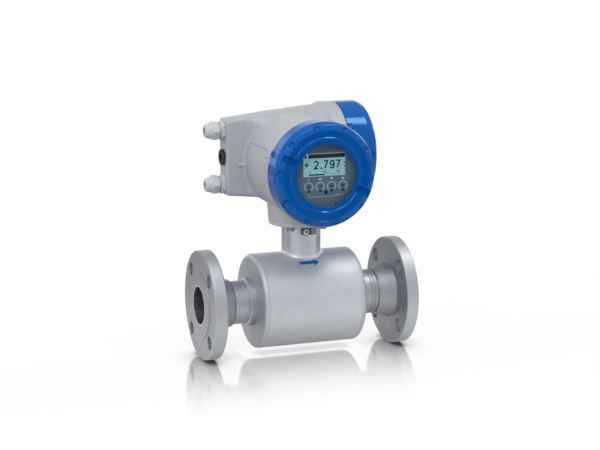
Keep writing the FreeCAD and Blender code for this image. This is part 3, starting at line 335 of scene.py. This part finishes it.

# Paint of the housing, with painted highlights on the neck flange and along the seam above it, and of the
# covers
grey_paint = Surface("grey_paint", linear(179, 182, 188), roughness=0.4)
grey_paint.soften_edges(1.2)
grey_paint.vary_colour(grey_paint.noise(size=45, detail=4), spread=0.025)
grey_paint.vary_roughness(grey_paint.noise(size=14, detail=4), spread=0.05)
grey_paint.bump(grey_paint.noise(size=1.6, detail=2), height=0.03, strength=0.22)
flange_edge = 0.5
highlight_below = 0.2
highlight_above = 0.7
paint_height = grey_paint.along("Z")
# Painted highlights: a lighter band on the side of the neck flange and a bright line along the seam above
# it
neck_flange_highlight = grey_paint.within(paint_height, neck_flange_bottom - flange_edge, base_bottom)
base_seam_highlight = grey_paint.within(paint_height, base_bottom - highlight_below, base_bottom + highlight_above)
grey_paint.tint(neck_flange_highlight, 1.1)
grey_paint.tint(base_seam_highlight, 1.3)

blue_paint = Surface("blue_paint", linear(0, 87, 174), roughness=0.13)
blue_paint.set(Specular_IOR_Level=0.62, Specular_Tint=(0.3, 0.68, 1.0, 1.0))
blue_paint.soften_edges(0.6)
blue_paint.vary_colour(blue_paint.noise(size=30), spread=0.05)
blue_paint.vary_roughness(blue_paint.noise(size=10), spread=0.04)
blue_paint.bump(blue_paint.noise(size=1.8, detail=2), height=0.03, strength=0.18)

# Small metal pieces
lock_steel = stainless("lock_steel", linear(84, 98, 122), roughness=0.34)
# Darkened steel for the earth block and washer: painted shade under the housing
clamp_steel_in_shade = stainless("clamp_steel_in_shade", linear(98, 100, 104), roughness=0.3)
screw_steel = stainless("screw_steel", linear(150, 152, 156), roughness=0.26)
bright_steel = stainless("bright_steel", linear(226, 228, 232), roughness=0.3)
holder_steel = stainless("holder_steel", linear(178, 180, 183), roughness=0.32)
transducer = stainless("transducer", linear(168, 170, 176), roughness=0.3)
retainer_metal = Surface("retainer_metal", linear(52, 56, 62), roughness=0.4, metallic=0.8)
retainer_metal.vary_roughness(retainer_metal.noise(size=3), spread=0.06)
retainer_metal.bump(retainer_metal.rings(spacing=0.5, direction="Y"), height=0.01, strength=0.3)

# Plastic, rubber and boards
gland_plastic = plastic("gland_plastic", linear(200, 203, 208), roughness=0.38)
gland_plastic.set(Subsurface_Weight=0.08, Subsurface_Radius=(0.002, 0.002, 0.002))
plug_plastic = plastic("plug_plastic", linear(36, 36, 39), roughness=0.35)
dark_plastic = plastic("dark_plastic", linear(64, 66, 70), roughness=0.5, grain=0.9)
display_face = plastic("display_face", linear(90, 114, 131), roughness=0.55, grain=0.35)
seal_rubber = plastic("seal_rubber", linear(34, 34, 35), roughness=0.7, grain=0.5)
board = Surface("board", linear(38, 96, 62), roughness=0.35)
board.vary_colour(board.noise(size=3.5, detail=6), spread=0.22)
board.bump(board.noise(size=1.2, detail=4), height=0.04, strength=0.3)

# Screen, print and lenses
SCREEN_COLOUR = linear(138, 184, 197)
screen = Surface("screen", SCREEN_COLOUR, roughness=0.3)
screen.set(Emission_Color=SCREEN_COLOUR, Emission_Strength=0.28)
screen.vary_colour(screen.noise(size=0.5, detail=1), spread=0.03)
screen.vary_roughness(screen.noise(size=6, detail=2), spread=0.03)
ink_dark = plastic("ink_dark", linear(24, 40, 46), roughness=0.6, grain=0.3)
ink_ring = plastic("ink_ring", linear(152, 190, 210), roughness=0.5, grain=0.3)
ink_pale = plastic("ink_pale", linear(232, 232, 240), roughness=0.5, grain=0.3)
ink_blue = plastic("ink_blue", linear(0, 92, 178), roughness=0.5, grain=0.4)
ink_blue.set(Specular_IOR_Level=0.2)
lens_dark = plastic("lens_dark", linear(16, 17, 22), roughness=0.2, grain=0.4)


def clear_glass():
    """Window glass that lets the lamps through to the display behind it."""
    surface = Surface("window_glass", (0.96, 0.985, 0.98, 1.0), roughness=0.006)
    surface.set(Transmission_Weight=1.0, IOR=1.18)
    surface.vary_roughness(surface.noise(size=18, detail=2), spread=0.005)
    shadow_ray = surface.add("LightPath").outputs["Is Shadow Ray"]
    through = surface.add("BsdfTransparent").outputs["BSDF"]
    seen = surface.mixed(shadow_ray, surface.shader.outputs["BSDF"], through)
    surface.link(seen, surface.tree.nodes["Material Output"].inputs["Surface"])
    return surface


SLOT_SURFACES = {
    "stainless": shell_steel,
    "grey_paint": grey_paint,
    "blue_paint": blue_paint,
    "screw_steel": screw_steel,
    "window_glass": clear_glass(),
    "seal_rubber": seal_rubber,
    "retainer_metal": retainer_metal,
    "gland_plastic": gland_plastic,
    "plug_plastic": plug_plastic,
    "display_face": display_face,
    "screen": screen,
    "board": board,
    "dark_plastic": dark_plastic,
    "transducer": transducer,
    "holder_steel": holder_steel,
}
NODE_SURFACES = {
    "inlet_flange": turned_steel,
    "outlet_flange": turned_steel,
    "inlet_collar": turned_steel,
    "outlet_collar": turned_steel,
    "measuring_tube": tube_steel,
    "neck_tube": neck_steel,
    "inlet_end_plate": shaded_plate_steel,
    "outlet_end_plate": shaded_plate_steel,
    "earth_block": clamp_steel_in_shade,
    "earth_washer": clamp_steel_in_shade,
    "earth_screw": bright_steel,
    "display_lock_screw": lock_steel,
    "terminal_lock_screw": lock_steel,
}
for row in frame["record"]["subparts"]:
    surface = NODE_SURFACES.get(row["node"], SLOT_SURFACES[row["material_slot"]])
    materials = nodes[row["node"]].data.materials
    materials.clear()
    materials.append(surface.material)


# Mesh building
def new_piece(name, mesh, surface, body="meter_body", smooth=False):
    """Make one finished piece of a bmesh drawn in millimetres, riding on a body."""
    bmesh.ops.recalc_face_normals(mesh, faces=mesh.faces)
    bmesh.ops.scale(mesh, vec=(MM, MM, MM), verts=mesh.verts)
    data = bpy.data.meshes.new(name)
    mesh.to_mesh(data)
    mesh.free()
    data.materials.append(surface.material)
    if smooth:
        data.shade_smooth()
    piece = bpy.data.objects.new(name, data)
    bpy.context.scene.collection.objects.link(piece)
    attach(piece, body)


def add_plate(mesh, outline, front, thickness):
    """A flat plate with an outline of (x, z) points, standing in front of a plane across Y."""
    back = [mesh.verts.new((x, front, z)) for x, z in outline]
    face = [mesh.verts.new((x, front - thickness, z)) for x, z in outline]
    mesh.faces.new(face)
    mesh.faces.new(back)
    for index in range(len(outline)):
        follower = (index + 1) % len(outline)
        mesh.faces.new((back[index], back[follower], face[follower], face[index]))


def arc(centre, radius, start, end, count):
    """Points on an arc of count steps, from one angle to another in degrees."""
    points = []
    for step in range(count + 1):
        angle = math.radians(start + (end - start) * step / count)
        points.append((centre[0] + radius * math.cos(angle), centre[1] + radius * math.sin(angle)))
    return points


def disc(centre, radius, sides=16):
    """Corners of a round outline."""
    return arc(centre, radius, 0, 360 - 360 / sides, sides - 1)


def oval(centre, reach, start, end, count=20):
    """Points on part of an oval, with its centre and reach as (x, z)."""
    circle = arc((0, 0), 1, start, end, count)
    return [(centre[0] + reach[0] * x, centre[1] + reach[1] * z) for x, z in circle]


def bar(left, bottom, right, top):
    """Corners of an upright rectangle."""
    return [(left, bottom), (right, bottom), (right, top), (left, top)]


def moved(outline, centre):
    """An outline shifted to a place."""
    return [(x + centre[0], z + centre[1]) for x, z in outline]


def add_stroke(mesh, points, width, front, thickness):
    """A band of even width along a line of (x, z) points, with mitred corners."""
    runs = []
    for first, second in zip(points, points[1:]):
        runs.append(Vector((second[0] - first[0], second[1] - first[1])).normalized())
    edges = ([], [])
    for index, (x, z) in enumerate(points):
        before = runs[max(index - 1, 0)]
        after = runs[min(index, len(runs) - 1)]
        middle = (before + after).normalized()
        reach = width / 2 / middle.dot(after)
        for edge, side in zip(edges, (1, -1)):
            edge.append((x - side * middle.y * reach, z + side * middle.x * reach))
    add_plate(mesh, edges[0] + edges[1][::-1], front, thickness)


def add_text(mesh, text, area, front, thickness):
    """Plain characters filling an area (left, bottom, right, top) on a plane across Y."""
    half_depth = 0.5
    curve = bpy.data.curves.new("text", "FONT")
    curve.body = text
    curve.offset = 0.02
    curve.extrude = half_depth
    holder = bpy.data.objects.new("text", curve)
    data = bpy.data.meshes.new_from_object(holder)
    bpy.data.objects.remove(holder)
    bpy.data.curves.remove(curve)
    across = [vertex.co.x for vertex in data.vertices]
    upward = [vertex.co.y for vertex in data.vertices]
    left, bottom, right, top = area
    wide = (right - left) / (max(across) - min(across))
    tall = (top - bottom) / (max(upward) - min(upward))
    for vertex in data.vertices:
        x, y, z = vertex.co
        vertex.co = (
            left + (x - min(across)) * wide,
            front - (z + half_depth) * thickness,
            bottom + (y - min(upward)) * tall,
        )
    mesh.from_mesh(data)
    bpy.data.meshes.remove(data)


def add_dome(mesh, centre, radius, front, height):
    """A low round lens on a plane across Y."""
    rows = [(radius, 0), (radius, 0.4), (radius * 0.8, 0.75), (radius * 0.45, 0.95)]
    loops = []
    for reach, share in rows:
        points = disc(centre, reach)
        loops.append([mesh.verts.new((x, front - share * height, z)) for x, z in points])
    for lower, upper in zip(loops, loops[1:]):
        for index in range(len(lower)):
            follower = (index + 1) % len(lower)
            mesh.faces.new((lower[index], lower[follower], upper[follower], upper[index]))
    mesh.faces.new(loops[-1])
    mesh.faces.new(loops[0])


# Display: figures on the screen
digit_stroke = 2
digit_width = 5.2
digit_height = 9.9
digit_foot = 198.1
digit_middle = digit_width / 2
upper_bow = (digit_middle, digit_height * 0.28)
loop = (digit_middle, digit_height * 0.31)
lower_bow = (digit_middle, digit_height * 0.3)
seven_foot = digit_width * 0.35
FIGURES = {
    "2": [
        oval((digit_middle, digit_height - upper_bow[1]), upper_bow, 165, -35) + [(0, 0), (digit_width, 0)],
    ],
    "7": [
        [(0, digit_height), (digit_width, digit_height), (seven_foot, 0)],
    ],
    "9": [
        oval((digit_middle, digit_height - loop[1]), loop, 0, 360),
        [(digit_width, digit_height - loop[1])] + oval(lower_bow, lower_bow, 0, -160),
    ],
}
FIGURE_PLACES = [("2", -14.3), ("7", -0.9), ("9", 8.5), ("7", 16.6)]
screen_signs = bmesh.new()
for figure, left in FIGURE_PLACES:
    for points in FIGURES[figure]:
        line = moved(points, (left, digit_foot))
        add_stroke(screen_signs, line, digit_stroke, screen_face, print_depth)

# Display: small marks on the screen
SCALE_NUMBERS = [
    ("0", (-21.2, 192, -19.4, 194.6)),
    ("50", (-1.6, 192.2, 1.9, 194.8)),
    ("100", (17.2, 192.4, 22.2, 195)),
]
DECIMAL_POINT = bar(-5.5, 197.1, -3.1, 199.5)
PLUS_SIGN = [
    bar(-28.5, 202.7, -22.1, 204.3),
    bar(-26.1, 200.3, -24.5, 202.7),
    bar(-26.1, 204.3, -24.5, 206.7),
]
TITLE_BAR = bar(-22.8, 212, 29.6, 217.6)
SCALE_BARS = [
    bar(-21.8, 188.8, 0, 190.7),
    bar(0, 190.5, 22.2, 190.8),
    bar(-11.3, 190.7, -10.9, 191.7),
    bar(11.3, 189.2, 11.7, 191.7),
    bar(21.6, 188.8, 22.2, 191.8),
]
SIDE_MARKS = [
    bar(28, 203.6, 29.8, 205.5),
    bar(28.6, 198.6, 29.8, 200.4),
]
STATUS_SIGN = [(-29.2, 212.6), (-24.6, 212.6), (-26.9, 217.8)]
for text, area in SCALE_NUMBERS:
    add_text(screen_signs, text, area, screen_face, print_depth)
for outline in [DECIMAL_POINT, *PLUS_SIGN, TITLE_BAR, *SCALE_BARS, *SIDE_MARKS, STATUS_SIGN]:
    add_plate(screen_signs, outline, screen_face, print_depth)
new_piece("screen_signs", screen_signs, ink_dark)

# Display: rings around the touch keys and the bracket under them
KEY_PLACES = (-22.5, -6.2, 10.1, 26.3)
key_height = 173.8
ring_outer = 6.6
ring_inner = 5.1
ring_gap = 35
ring_steps = 40
ring_start = ring_gap - 90
ring_end = 270 - ring_gap
BRACKET = [
    bar(-22.6, 159.7, -22, 165.4),
    bar(-22, 159.7, 13.3, 160.3),
    bar(23.1, 160.4, 26.6, 161),
    bar(26, 161, 26.6, 164.9),
]
BRACKET_WORD = (14.9, 159.9, 21.8, 162.6)
plate_print = bmesh.new()
for x in KEY_PLACES:
    outer = arc((x, key_height), ring_outer, ring_start, ring_end, ring_steps)
    inner = arc((x, key_height), ring_inner, ring_end, ring_start, ring_steps)
    add_plate(plate_print, outer + inner, plate_face, print_depth)
for outline in BRACKET:
    add_plate(plate_print, outline, plate_face, print_depth)
add_text(plate_print, "esc", BRACKET_WORD, plate_face, print_depth)
new_piece("plate_print", plate_print, ink_ring)

# Display: signs over the touch keys
CHEVRON = [(-1.2, 1.6), (-0.3, 1.6), (1.2, 0), (-0.3, -1.6), (-1.2, -1.6), (0.2, 0)]
RETURN = [
    (-2.6, -0.2), (-0.8, 1.4), (-0.8, 0.3), (1.6, 0.3), (1.6, 1.7),
    (2.4, 1.7), (2.4, -0.6), (-0.8, -0.6), (-0.8, -1.7),
]
DOWN = [(-2, 1.5), (2, 1.5), (0, -1.6)]
UP = [(-2, -1.5), (2, -1.5), (0, 1.6)]
sign_height = 183.9
plate_signs = bmesh.new()
for x, outline in zip(KEY_PLACES, (CHEVRON, RETURN, DOWN, UP)):
    add_plate(plate_signs, moved(outline, (x, sign_height)), plate_face, print_depth)
new_piece("plate_signs", plate_signs, ink_pale)

# Display: dark lenses in and under the touch keys
lens_bulge = 0.5
key_lens_radius = 1.3
lower_lens_height = 167.5
lower_lens_radius = 1.6
EXTRA_LENSES = [((2.2, 165.6), 2.6), ((16.6, 147.9), 1.4)]
key_lenses = bmesh.new()
for x in KEY_PLACES:
    add_dome(key_lenses, (x, key_height), key_lens_radius, plate_face, lens_bulge)
    add_dome(key_lenses, (x, lower_lens_height), lower_lens_radius, plate_face, lens_bulge)
for centre, radius in EXTRA_LENSES:
    add_dome(key_lenses, centre, radius, plate_face, lens_bulge)
new_piece("key_lenses", key_lenses, lens_dark, smooth=True)

# Flow arrow on the shell, bent round it
arrow_tail = -15.7
arrow_tip = 14.1
arrow_head = 5.8
arrow_barb = 1.2
arrow_shaft_half = 2.9
arrow_head_half = 7.8
arrow_notch = 3
arrow_angle = math.radians(31)
arrow_lift = 0.03
arrow_cuts = range(-4, 5)
ARROW = [
    (arrow_tail, -arrow_shaft_half),
    (arrow_head + arrow_barb, -arrow_shaft_half),
    (arrow_head, -arrow_head_half),
    (arrow_tip, 0),
    (arrow_head, arrow_head_half),
    (arrow_head + arrow_barb, arrow_shaft_half),
    (arrow_tail, arrow_shaft_half),
    (arrow_tail + arrow_notch, 0),
]
flow_arrow = bmesh.new()
add_plate(flow_arrow, ARROW, 0, print_depth)
for height in arrow_cuts:
    everything = flow_arrow.verts[:] + flow_arrow.edges[:] + flow_arrow.faces[:]
    bmesh.ops.bisect_plane(flow_arrow, geom=everything, plane_co=(0, 0, height), plane_no=(0, 0, 1))
for vertex in flow_arrow.verts:
    reach = shell_radius + arrow_lift - vertex.co.y
    angle = arrow_angle - vertex.co.z / shell_radius
    vertex.co = (vertex.co.x, -reach * math.sin(angle), reach * math.cos(angle))
new_piece("flow_arrow", flow_arrow, ink_blue)

# Dark sheet in the head of the earth screw: painted shade standing in for its cross recess
cross_reach = 2.8
cross_half = 0.6
CROSS_ARM = [(cross_half, cross_half), (cross_half, cross_reach), (-cross_half, cross_reach)]
cross_outline = []
for turn in (45, 135, 225, 315):
    angle = math.radians(turn)
    for x, z in CROSS_ARM:
        cross_outline.append((
            x * math.cos(angle) - z * math.sin(angle), x * math.sin(angle) + z * math.cos(angle)
        ))
earth_cross_shade = bmesh.new()
add_plate(earth_cross_shade, moved(cross_outline, earth_screw_place), earth_screw_face, print_depth)
new_piece("earth_screw_cross_shade", earth_cross_shade, lens_dark)


# Cast blend between the display barrel and the wing
blend_size = 5
blend_first = 112
blend_last = 222
blend_steps = 60
blend_parts = 8
blend_sink = 0.3
barrel_clearance = 0.5


def wing_depth(tree, radius, angle):
    """Depth at which a line along Y, at a radius and angle about the display axis, meets the wing."""
    start = Vector((
        radius * math.cos(angle) * MM,
        -display_seam / 2 * MM,
        (display_axis + radius * math.sin(angle)) * MM,
    ))
    place = tree.ray_cast(start, Vector((0, 1, 0)))[0]
    return None if place is None else place.y / MM


def cast_blend():
    """A concave fillet that follows the line where the barrel meets the wing."""
    housing = nodes["converter_housing"].data
    tree = BVHTree.FromPolygons(
        [vertex.co for vertex in housing.vertices], [face.vertices[:] for face in housing.polygons]
    )
    mesh = bmesh.new()
    rows = []
    for step in range(blend_steps + 1):
        angle = math.radians(blend_first + (blend_last - blend_first) * step / blend_steps)
        inner = wing_depth(tree, barrel_radius + barrel_clearance, angle)
        outer = wing_depth(tree, barrel_radius + blend_size, angle)
        if inner is None or outer is None:
            continue
        start = (barrel_radius - blend_sink, inner - blend_size)
        middle = (barrel_radius - blend_sink, inner + blend_sink)
        end = (barrel_radius + blend_size, outer + blend_sink)
        row = []
        for part in range(blend_parts + 1):
            share = part / blend_parts
            weights = ((1 - share) ** 2, 2 * share * (1 - share), share ** 2)
            reach = sum(weight * spot[0] for weight, spot in zip(weights, (start, middle, end)))
            depth = sum(weight * spot[1] for weight, spot in zip(weights, (start, middle, end)))
            row.append(mesh.verts.new((
                reach * math.cos(angle), depth, display_axis + reach * math.sin(angle)
            )))
        rows.append(row)
    for row, following in zip(rows, rows[1:]):
        for part in range(blend_parts):
            mesh.faces.new((row[part], row[part + 1], following[part + 1], following[part]))
    return mesh


new_piece("cast_blend", cast_blend(), grey_paint, smooth=True)


# Screw threads
ThreadSize = namedtuple("ThreadSize", "root height start end pitch")
COVER_THREAD = ThreadSize(root=60.7, height=1.0, start=-10.5, end=-1.5, pitch=3)
GLAND_THREAD = ThreadSize(root=9.5, height=0.45, start=7.5, end=15, pitch=1.5)
PLUG_THREAD = ThreadSize(root=10, height=0.45, start=-8.2, end=-0.8, pitch=1.5)
steps_per_turn = 48
run_out_steps = 12
thread_sink = 0.1
thread_foot_share = 0.42
thread_crest_share = 0.2


def thread(name, surface, body, place, size):
    """A helical ridge around a stem along its own X axis, which a place turns into the frame."""
    mesh = bmesh.new()
    total = int((size.end - size.start) / size.pitch * steps_per_turn)
    foot_half = size.pitch * thread_foot_share
    crest_half = foot_half * thread_crest_share
    foot = size.root - thread_sink
    rows = []
    for step in range(total + 1):
        angle = 2 * math.pi * step / steps_per_turn
        along = size.start + size.pitch * step / steps_per_turn
        crest = size.root + size.height * min(1, step / run_out_steps, (total - step) / run_out_steps)
        profile = ((-foot_half, foot), (-crest_half, crest), (crest_half, crest), (foot_half, foot))
        row = []
        for shift, reach in profile:
            spot = Vector((along + shift, reach * math.cos(angle), reach * math.sin(angle)))
            row.append(mesh.verts.new(place @ spot))
        rows.append(row)
    for row, following in zip(rows, rows[1:]):
        for part in range(len(row)):
            after = (part + 1) % len(row)
            mesh.faces.new((row[part], row[after], following[after], following[part]))
    mesh.faces.new(rows[0])
    mesh.faces.new(rows[-1])
    new_piece(name, mesh, surface, body)


def facing(place, direction):
    """Puts a piece's own X axis at a place, pointing along a direction."""
    turn = Vector((1, 0, 0)).rotation_difference(Vector(direction)).to_matrix().to_4x4()
    return Matrix.Translation(Vector(place)) @ turn


def entry_place(rise):
    """A cable entry in the end of the wing, at a height above the terminal axis."""
    return facing((-wing_end, terminal_axis_depth, terminal_axis_height + rise), (-1, 0, 0))


COVER_PLACES = {
    "display": facing((0, -display_seam, display_axis), (0, -1, 0)),
    "terminal": facing((terminal_seam, terminal_axis_depth, terminal_axis_height), (1, 0, 0)),
}
for side, place in COVER_PLACES.items():
    rider = side + "_cover_body"
    thread(side + "_cover_thread", blue_paint, rider, place, COVER_THREAD)
for entry, rise in (("upper", entry_pitch), ("lower", -entry_pitch)):
    name = entry + "_gland_thread"
    thread(name, gland_plastic, "meter_body", entry_place(rise), GLAND_THREAD)
thread("plug_thread", plug_plastic, "plug_body", entry_place(0), PLUG_THREAD)


# Stage: white floor that keeps the object's shadow and a fading reflection, with lengths in metres
FLOOR_REACH = 20
FLOOR_LIT = 0.16
FLOOR_GLOW = 0.85
FLOOR_EDGE = (0.35, 0.75)
BACK_EDGE = (0.05, 0.3)
CONTACT_REACH = 0.0125
CONTACT_SPAN = (0.2, 0.95)
TOUCH_REACH = 0.016
TOUCH_SPAN = (0.0, 0.8)
TOUCH_LEVEL = 0.45
HALO_REACH = 0.045
HALO_SPAN = (0.15, 1.0)
HALO_LEVEL = 0.3
MIRROR_ROUGHNESS = 0.1
MIRROR_FADE = (-0.34, 0.0)
MIRROR_END = (0.0, 0.07)
MIRROR_SIDES = (0.085, 0.115)
MIRROR_MIDDLE = 0.83
MIRROR_FLANGES = 0.95
MIRROR_SLANT = (0.04, 0.26)
MIRROR_IOR = 1.45
BACK_DARKENING = (0.0, 0.7)
BACK_LEVELS = (0.82, 0.26)
FRONT_DARKENING = (-0.55, -1.25)
FRONT_LEVELS = (1.0, 0.06)
BELOW_REACH = 0.2
BELOW_SPAN = (0.2, 1.0)
BELOW_LEVEL = 0.5
DIFFUSE_FLOOR = 0.4


def openness(shading, reach, samples=8):
    """1 where a spot is open above, falling to 0 where things within reach cover it."""
    return shading.add("AmbientOcclusion", samples=samples, Distance=reach).outputs["AO"]


def floor_by_eye(shading, place):
    """White floor, darker where the object nearly touches it, with a mirror strip that fades forwards."""
    depth = shading.coordinate(place, "Y")
    sideways = shading.without_sign(shading.coordinate(place, "X"))

    lit = shading.add("BsdfDiffuse", Color=grey(FLOOR_LIT))
    glow = shading.add("Emission", Color=WHITE)
    contact = shading.smooth_ramp(openness(shading, CONTACT_REACH), CONTACT_SPAN, 0.0, FLOOR_GLOW)
    shading.link(contact, glow.inputs["Strength"])
    matt = shading.add("AddShader")
    shading.link(lit.outputs[0], matt.inputs[0])
    shading.link(glow.outputs[0], matt.inputs[1])

    mirror = shading.add("BsdfGlossy", Roughness=MIRROR_ROUGHNESS)
    touch = shading.smooth_ramp(openness(shading, TOUCH_REACH), TOUCH_SPAN, TOUCH_LEVEL)
    halo = shading.smooth_ramp(openness(shading, HALO_REACH, samples=16), HALO_SPAN, HALO_LEVEL)
    middle = shading.smooth_ramp(sideways, MIRROR_SIDES, 1.0, 0.0)
    dimming = shading.product(touch, shading.joined("MAXIMUM", middle, halo))
    shading.link(dimming, mirror.inputs["Color"])

    strength = shading.smooth_ramp(sideways, MIRROR_SIDES, MIRROR_MIDDLE, MIRROR_FLANGES)
    fade = shading.product(shading.smooth_ramp(depth, MIRROR_FADE), strength)
    back_end = shading.smooth_ramp(depth, MIRROR_END, 1.0, 0.0)
    slant = shading.add("Fresnel", IOR=MIRROR_IOR).outputs[0]
    shine = shading.product(fade, fade, back_end, shading.smooth_ramp(slant, MIRROR_SLANT))
    polished = shading.mixed(shine, matt.outputs[0], mirror.outputs[0])

    white = shading.add("Emission", Color=WHITE).outputs[0]
    far = shading.smooth_ramp(shading.length(place), FLOOR_EDGE)
    behind = shading.smooth_ramp(depth, BACK_EDGE)
    return shading.mixed(shading.joined("MAXIMUM", far, behind), polished, white)


def floor_in_reflections(shading, place):
    """A floor that darkens towards the back, far in front and under the object."""
    depth = shading.coordinate(place, "Y")
    behind = shading.smooth_ramp(depth, BACK_DARKENING, *BACK_LEVELS)
    before = shading.smooth_ramp(depth, FRONT_DARKENING, *FRONT_LEVELS)
    below = shading.smooth_ramp(openness(shading, BELOW_REACH, samples=4), BELOW_SPAN, BELOW_LEVEL)
    light = shading.add("Emission", Color=WHITE)
    shading.link(shading.product(behind, before, below), light.inputs["Strength"])
    return light.outputs[0]


def white_floor():
    """One look for the camera, one for reflections in the object and a plain grey for soft light."""
    material = bpy.data.materials.new("white_floor")
    material.use_nodes = True
    shading = Shading(material.node_tree)
    shading.tree.nodes.clear()
    rays = shading.add("LightPath").outputs
    place = shading.add("NewGeometry").outputs["Position"]
    plain = shading.add("BsdfDiffuse", Color=grey(DIFFUSE_FLOOR)).outputs[0]
    unseen = shading.mixed(rays["Is Glossy Ray"], plain, floor_in_reflections(shading, place))
    shown = shading.mixed(rays["Is Camera Ray"], unseen, floor_by_eye(shading, place))
    shading.link(shown, shading.add("OutputMaterial").inputs["Surface"])
    return material


floor_mesh = bpy.data.meshes.new("floor")
floor_mesh.from_pydata(
    [(x * FLOOR_REACH, y * FLOOR_REACH, floor_height) for x, y in ((-1, -1), (1, -1), (1, 1), (-1, 1))],
    [], [(0, 1, 2, 3)],
)
floor_mesh.materials.append(white_floor())
floor = bpy.data.objects.new("floor", floor_mesh)
bpy.context.scene.collection.objects.link(floor)


# World: spans of the direction along one axis, and the light at the two ends of a span
WALL_BACK = (0.4, 0.7)
WALL_TOP = (0.3, 0.42)
ROOM_DEPTH = (0.0, 0.9)
ROOM_DEPTH_LEVELS = (0.65, 0.4)
ROOM_HEIGHT = (0.2, 0.9)
ROOM_HEIGHT_LEVELS = (0.95, 0.9)
SOFT_HEIGHT = (0.0, 0.9)
SOFT_HEIGHT_LEVELS = (1.6, 1.15)
SOFT_SIDES = (-0.8, 0.8)
SOFT_SIDE_LEVELS = (1.4, 0.7)


def studio_world():
    """White to the camera. Reflections see a room with a white wall low behind the object.

    The room dims towards the back and a little overhead. Soft light is stronger from the left and low down.
    """
    world = bpy.data.worlds.new("studio")
    world.use_nodes = True
    sky = Shading(world.node_tree)
    sky.tree.nodes.clear()
    direction = sky.add("TexCoord").outputs["Generated"]
    sideways, depth, height = (sky.coordinate(direction, axis) for axis in "XYZ")
    rays = sky.add("LightPath").outputs

    wall = sky.product(sky.smooth_ramp(depth, WALL_BACK), sky.smooth_ramp(height, WALL_TOP, 1.0, 0.0))
    room = sky.product(
        sky.smooth_ramp(depth, ROOM_DEPTH, *ROOM_DEPTH_LEVELS),
        sky.smooth_ramp(height, ROOM_HEIGHT, *ROOM_HEIGHT_LEVELS),
    )
    soft = sky.product(
        sky.smooth_ramp(height, SOFT_HEIGHT, *SOFT_HEIGHT_LEVELS),
        sky.smooth_ramp(sideways, SOFT_SIDES, *SOFT_SIDE_LEVELS),
    )
    extra = sky.add("Mix", A=1.0)
    sky.link(rays["Is Diffuse Ray"], extra.inputs["Factor"])
    sky.link(soft, extra.inputs["B"])
    level = sky.add("Mix", B=1.0)
    sky.link(rays["Is Camera Ray"], level.inputs["Factor"])
    sky.link(sky.product(sky.joined("MAXIMUM", wall, room), extra.outputs["Result"]), level.inputs["A"])
    light = sky.add("Background", Color=WHITE)
    sky.link(level.outputs["Result"], light.inputs["Strength"])
    sky.link(light.outputs[0], sky.add("OutputWorld").inputs["Surface"])
    return world


bpy.context.scene.world = studio_world()


# Lamps, with lengths in metres and power in watts
def softbox(name, place, size, power):
    """A square lamp that looks at the middle of the object."""
    lamp = bpy.data.lights.new(name, "AREA")
    lamp.shape = "SQUARE"
    lamp.size = size
    lamp.energy = power
    holder = bpy.data.objects.new(name, lamp)
    holder.location = place
    aim = view_target - Vector(place)
    holder.rotation_euler = aim.to_track_quat("-Z", "Y").to_euler()
    bpy.context.scene.collection.objects.link(holder)


softbox("key_light", place=(-1.1, -1.2, 1.4), size=0.8, power=5)
softbox("middle_light", place=(-0.2, -0.8, 1.6), size=0.6, power=2.6)
softbox("top_light", place=(0.67, -0.28, 1.7), size=0.4, power=4.2)

# Camera at the photograph's place
back = Vector((
    math.sin(view_azimuth) * math.cos(view_elevation),
    -math.cos(view_azimuth) * math.cos(view_elevation),
    math.sin(view_elevation),
))
right = Vector((math.cos(view_azimuth), math.sin(view_azimuth), 0))
up = back.cross(right)
lens = bpy.data.cameras.new("camera")
lens.sensor_fit = "HORIZONTAL"
lens.sensor_width = 36
lens.lens = photo_focus / photo_width * lens.sensor_width
camera = bpy.data.objects.new("camera", lens)
camera.matrix_world = Matrix.Translation(view_target + back * view_distance) @ Matrix(
    (right, up, back)
).transposed().to_4x4()
bpy.context.scene.collection.objects.link(camera)
bpy.context.scene.camera = camera
bpy.context.scene.view_settings.view_transform = "Standard"
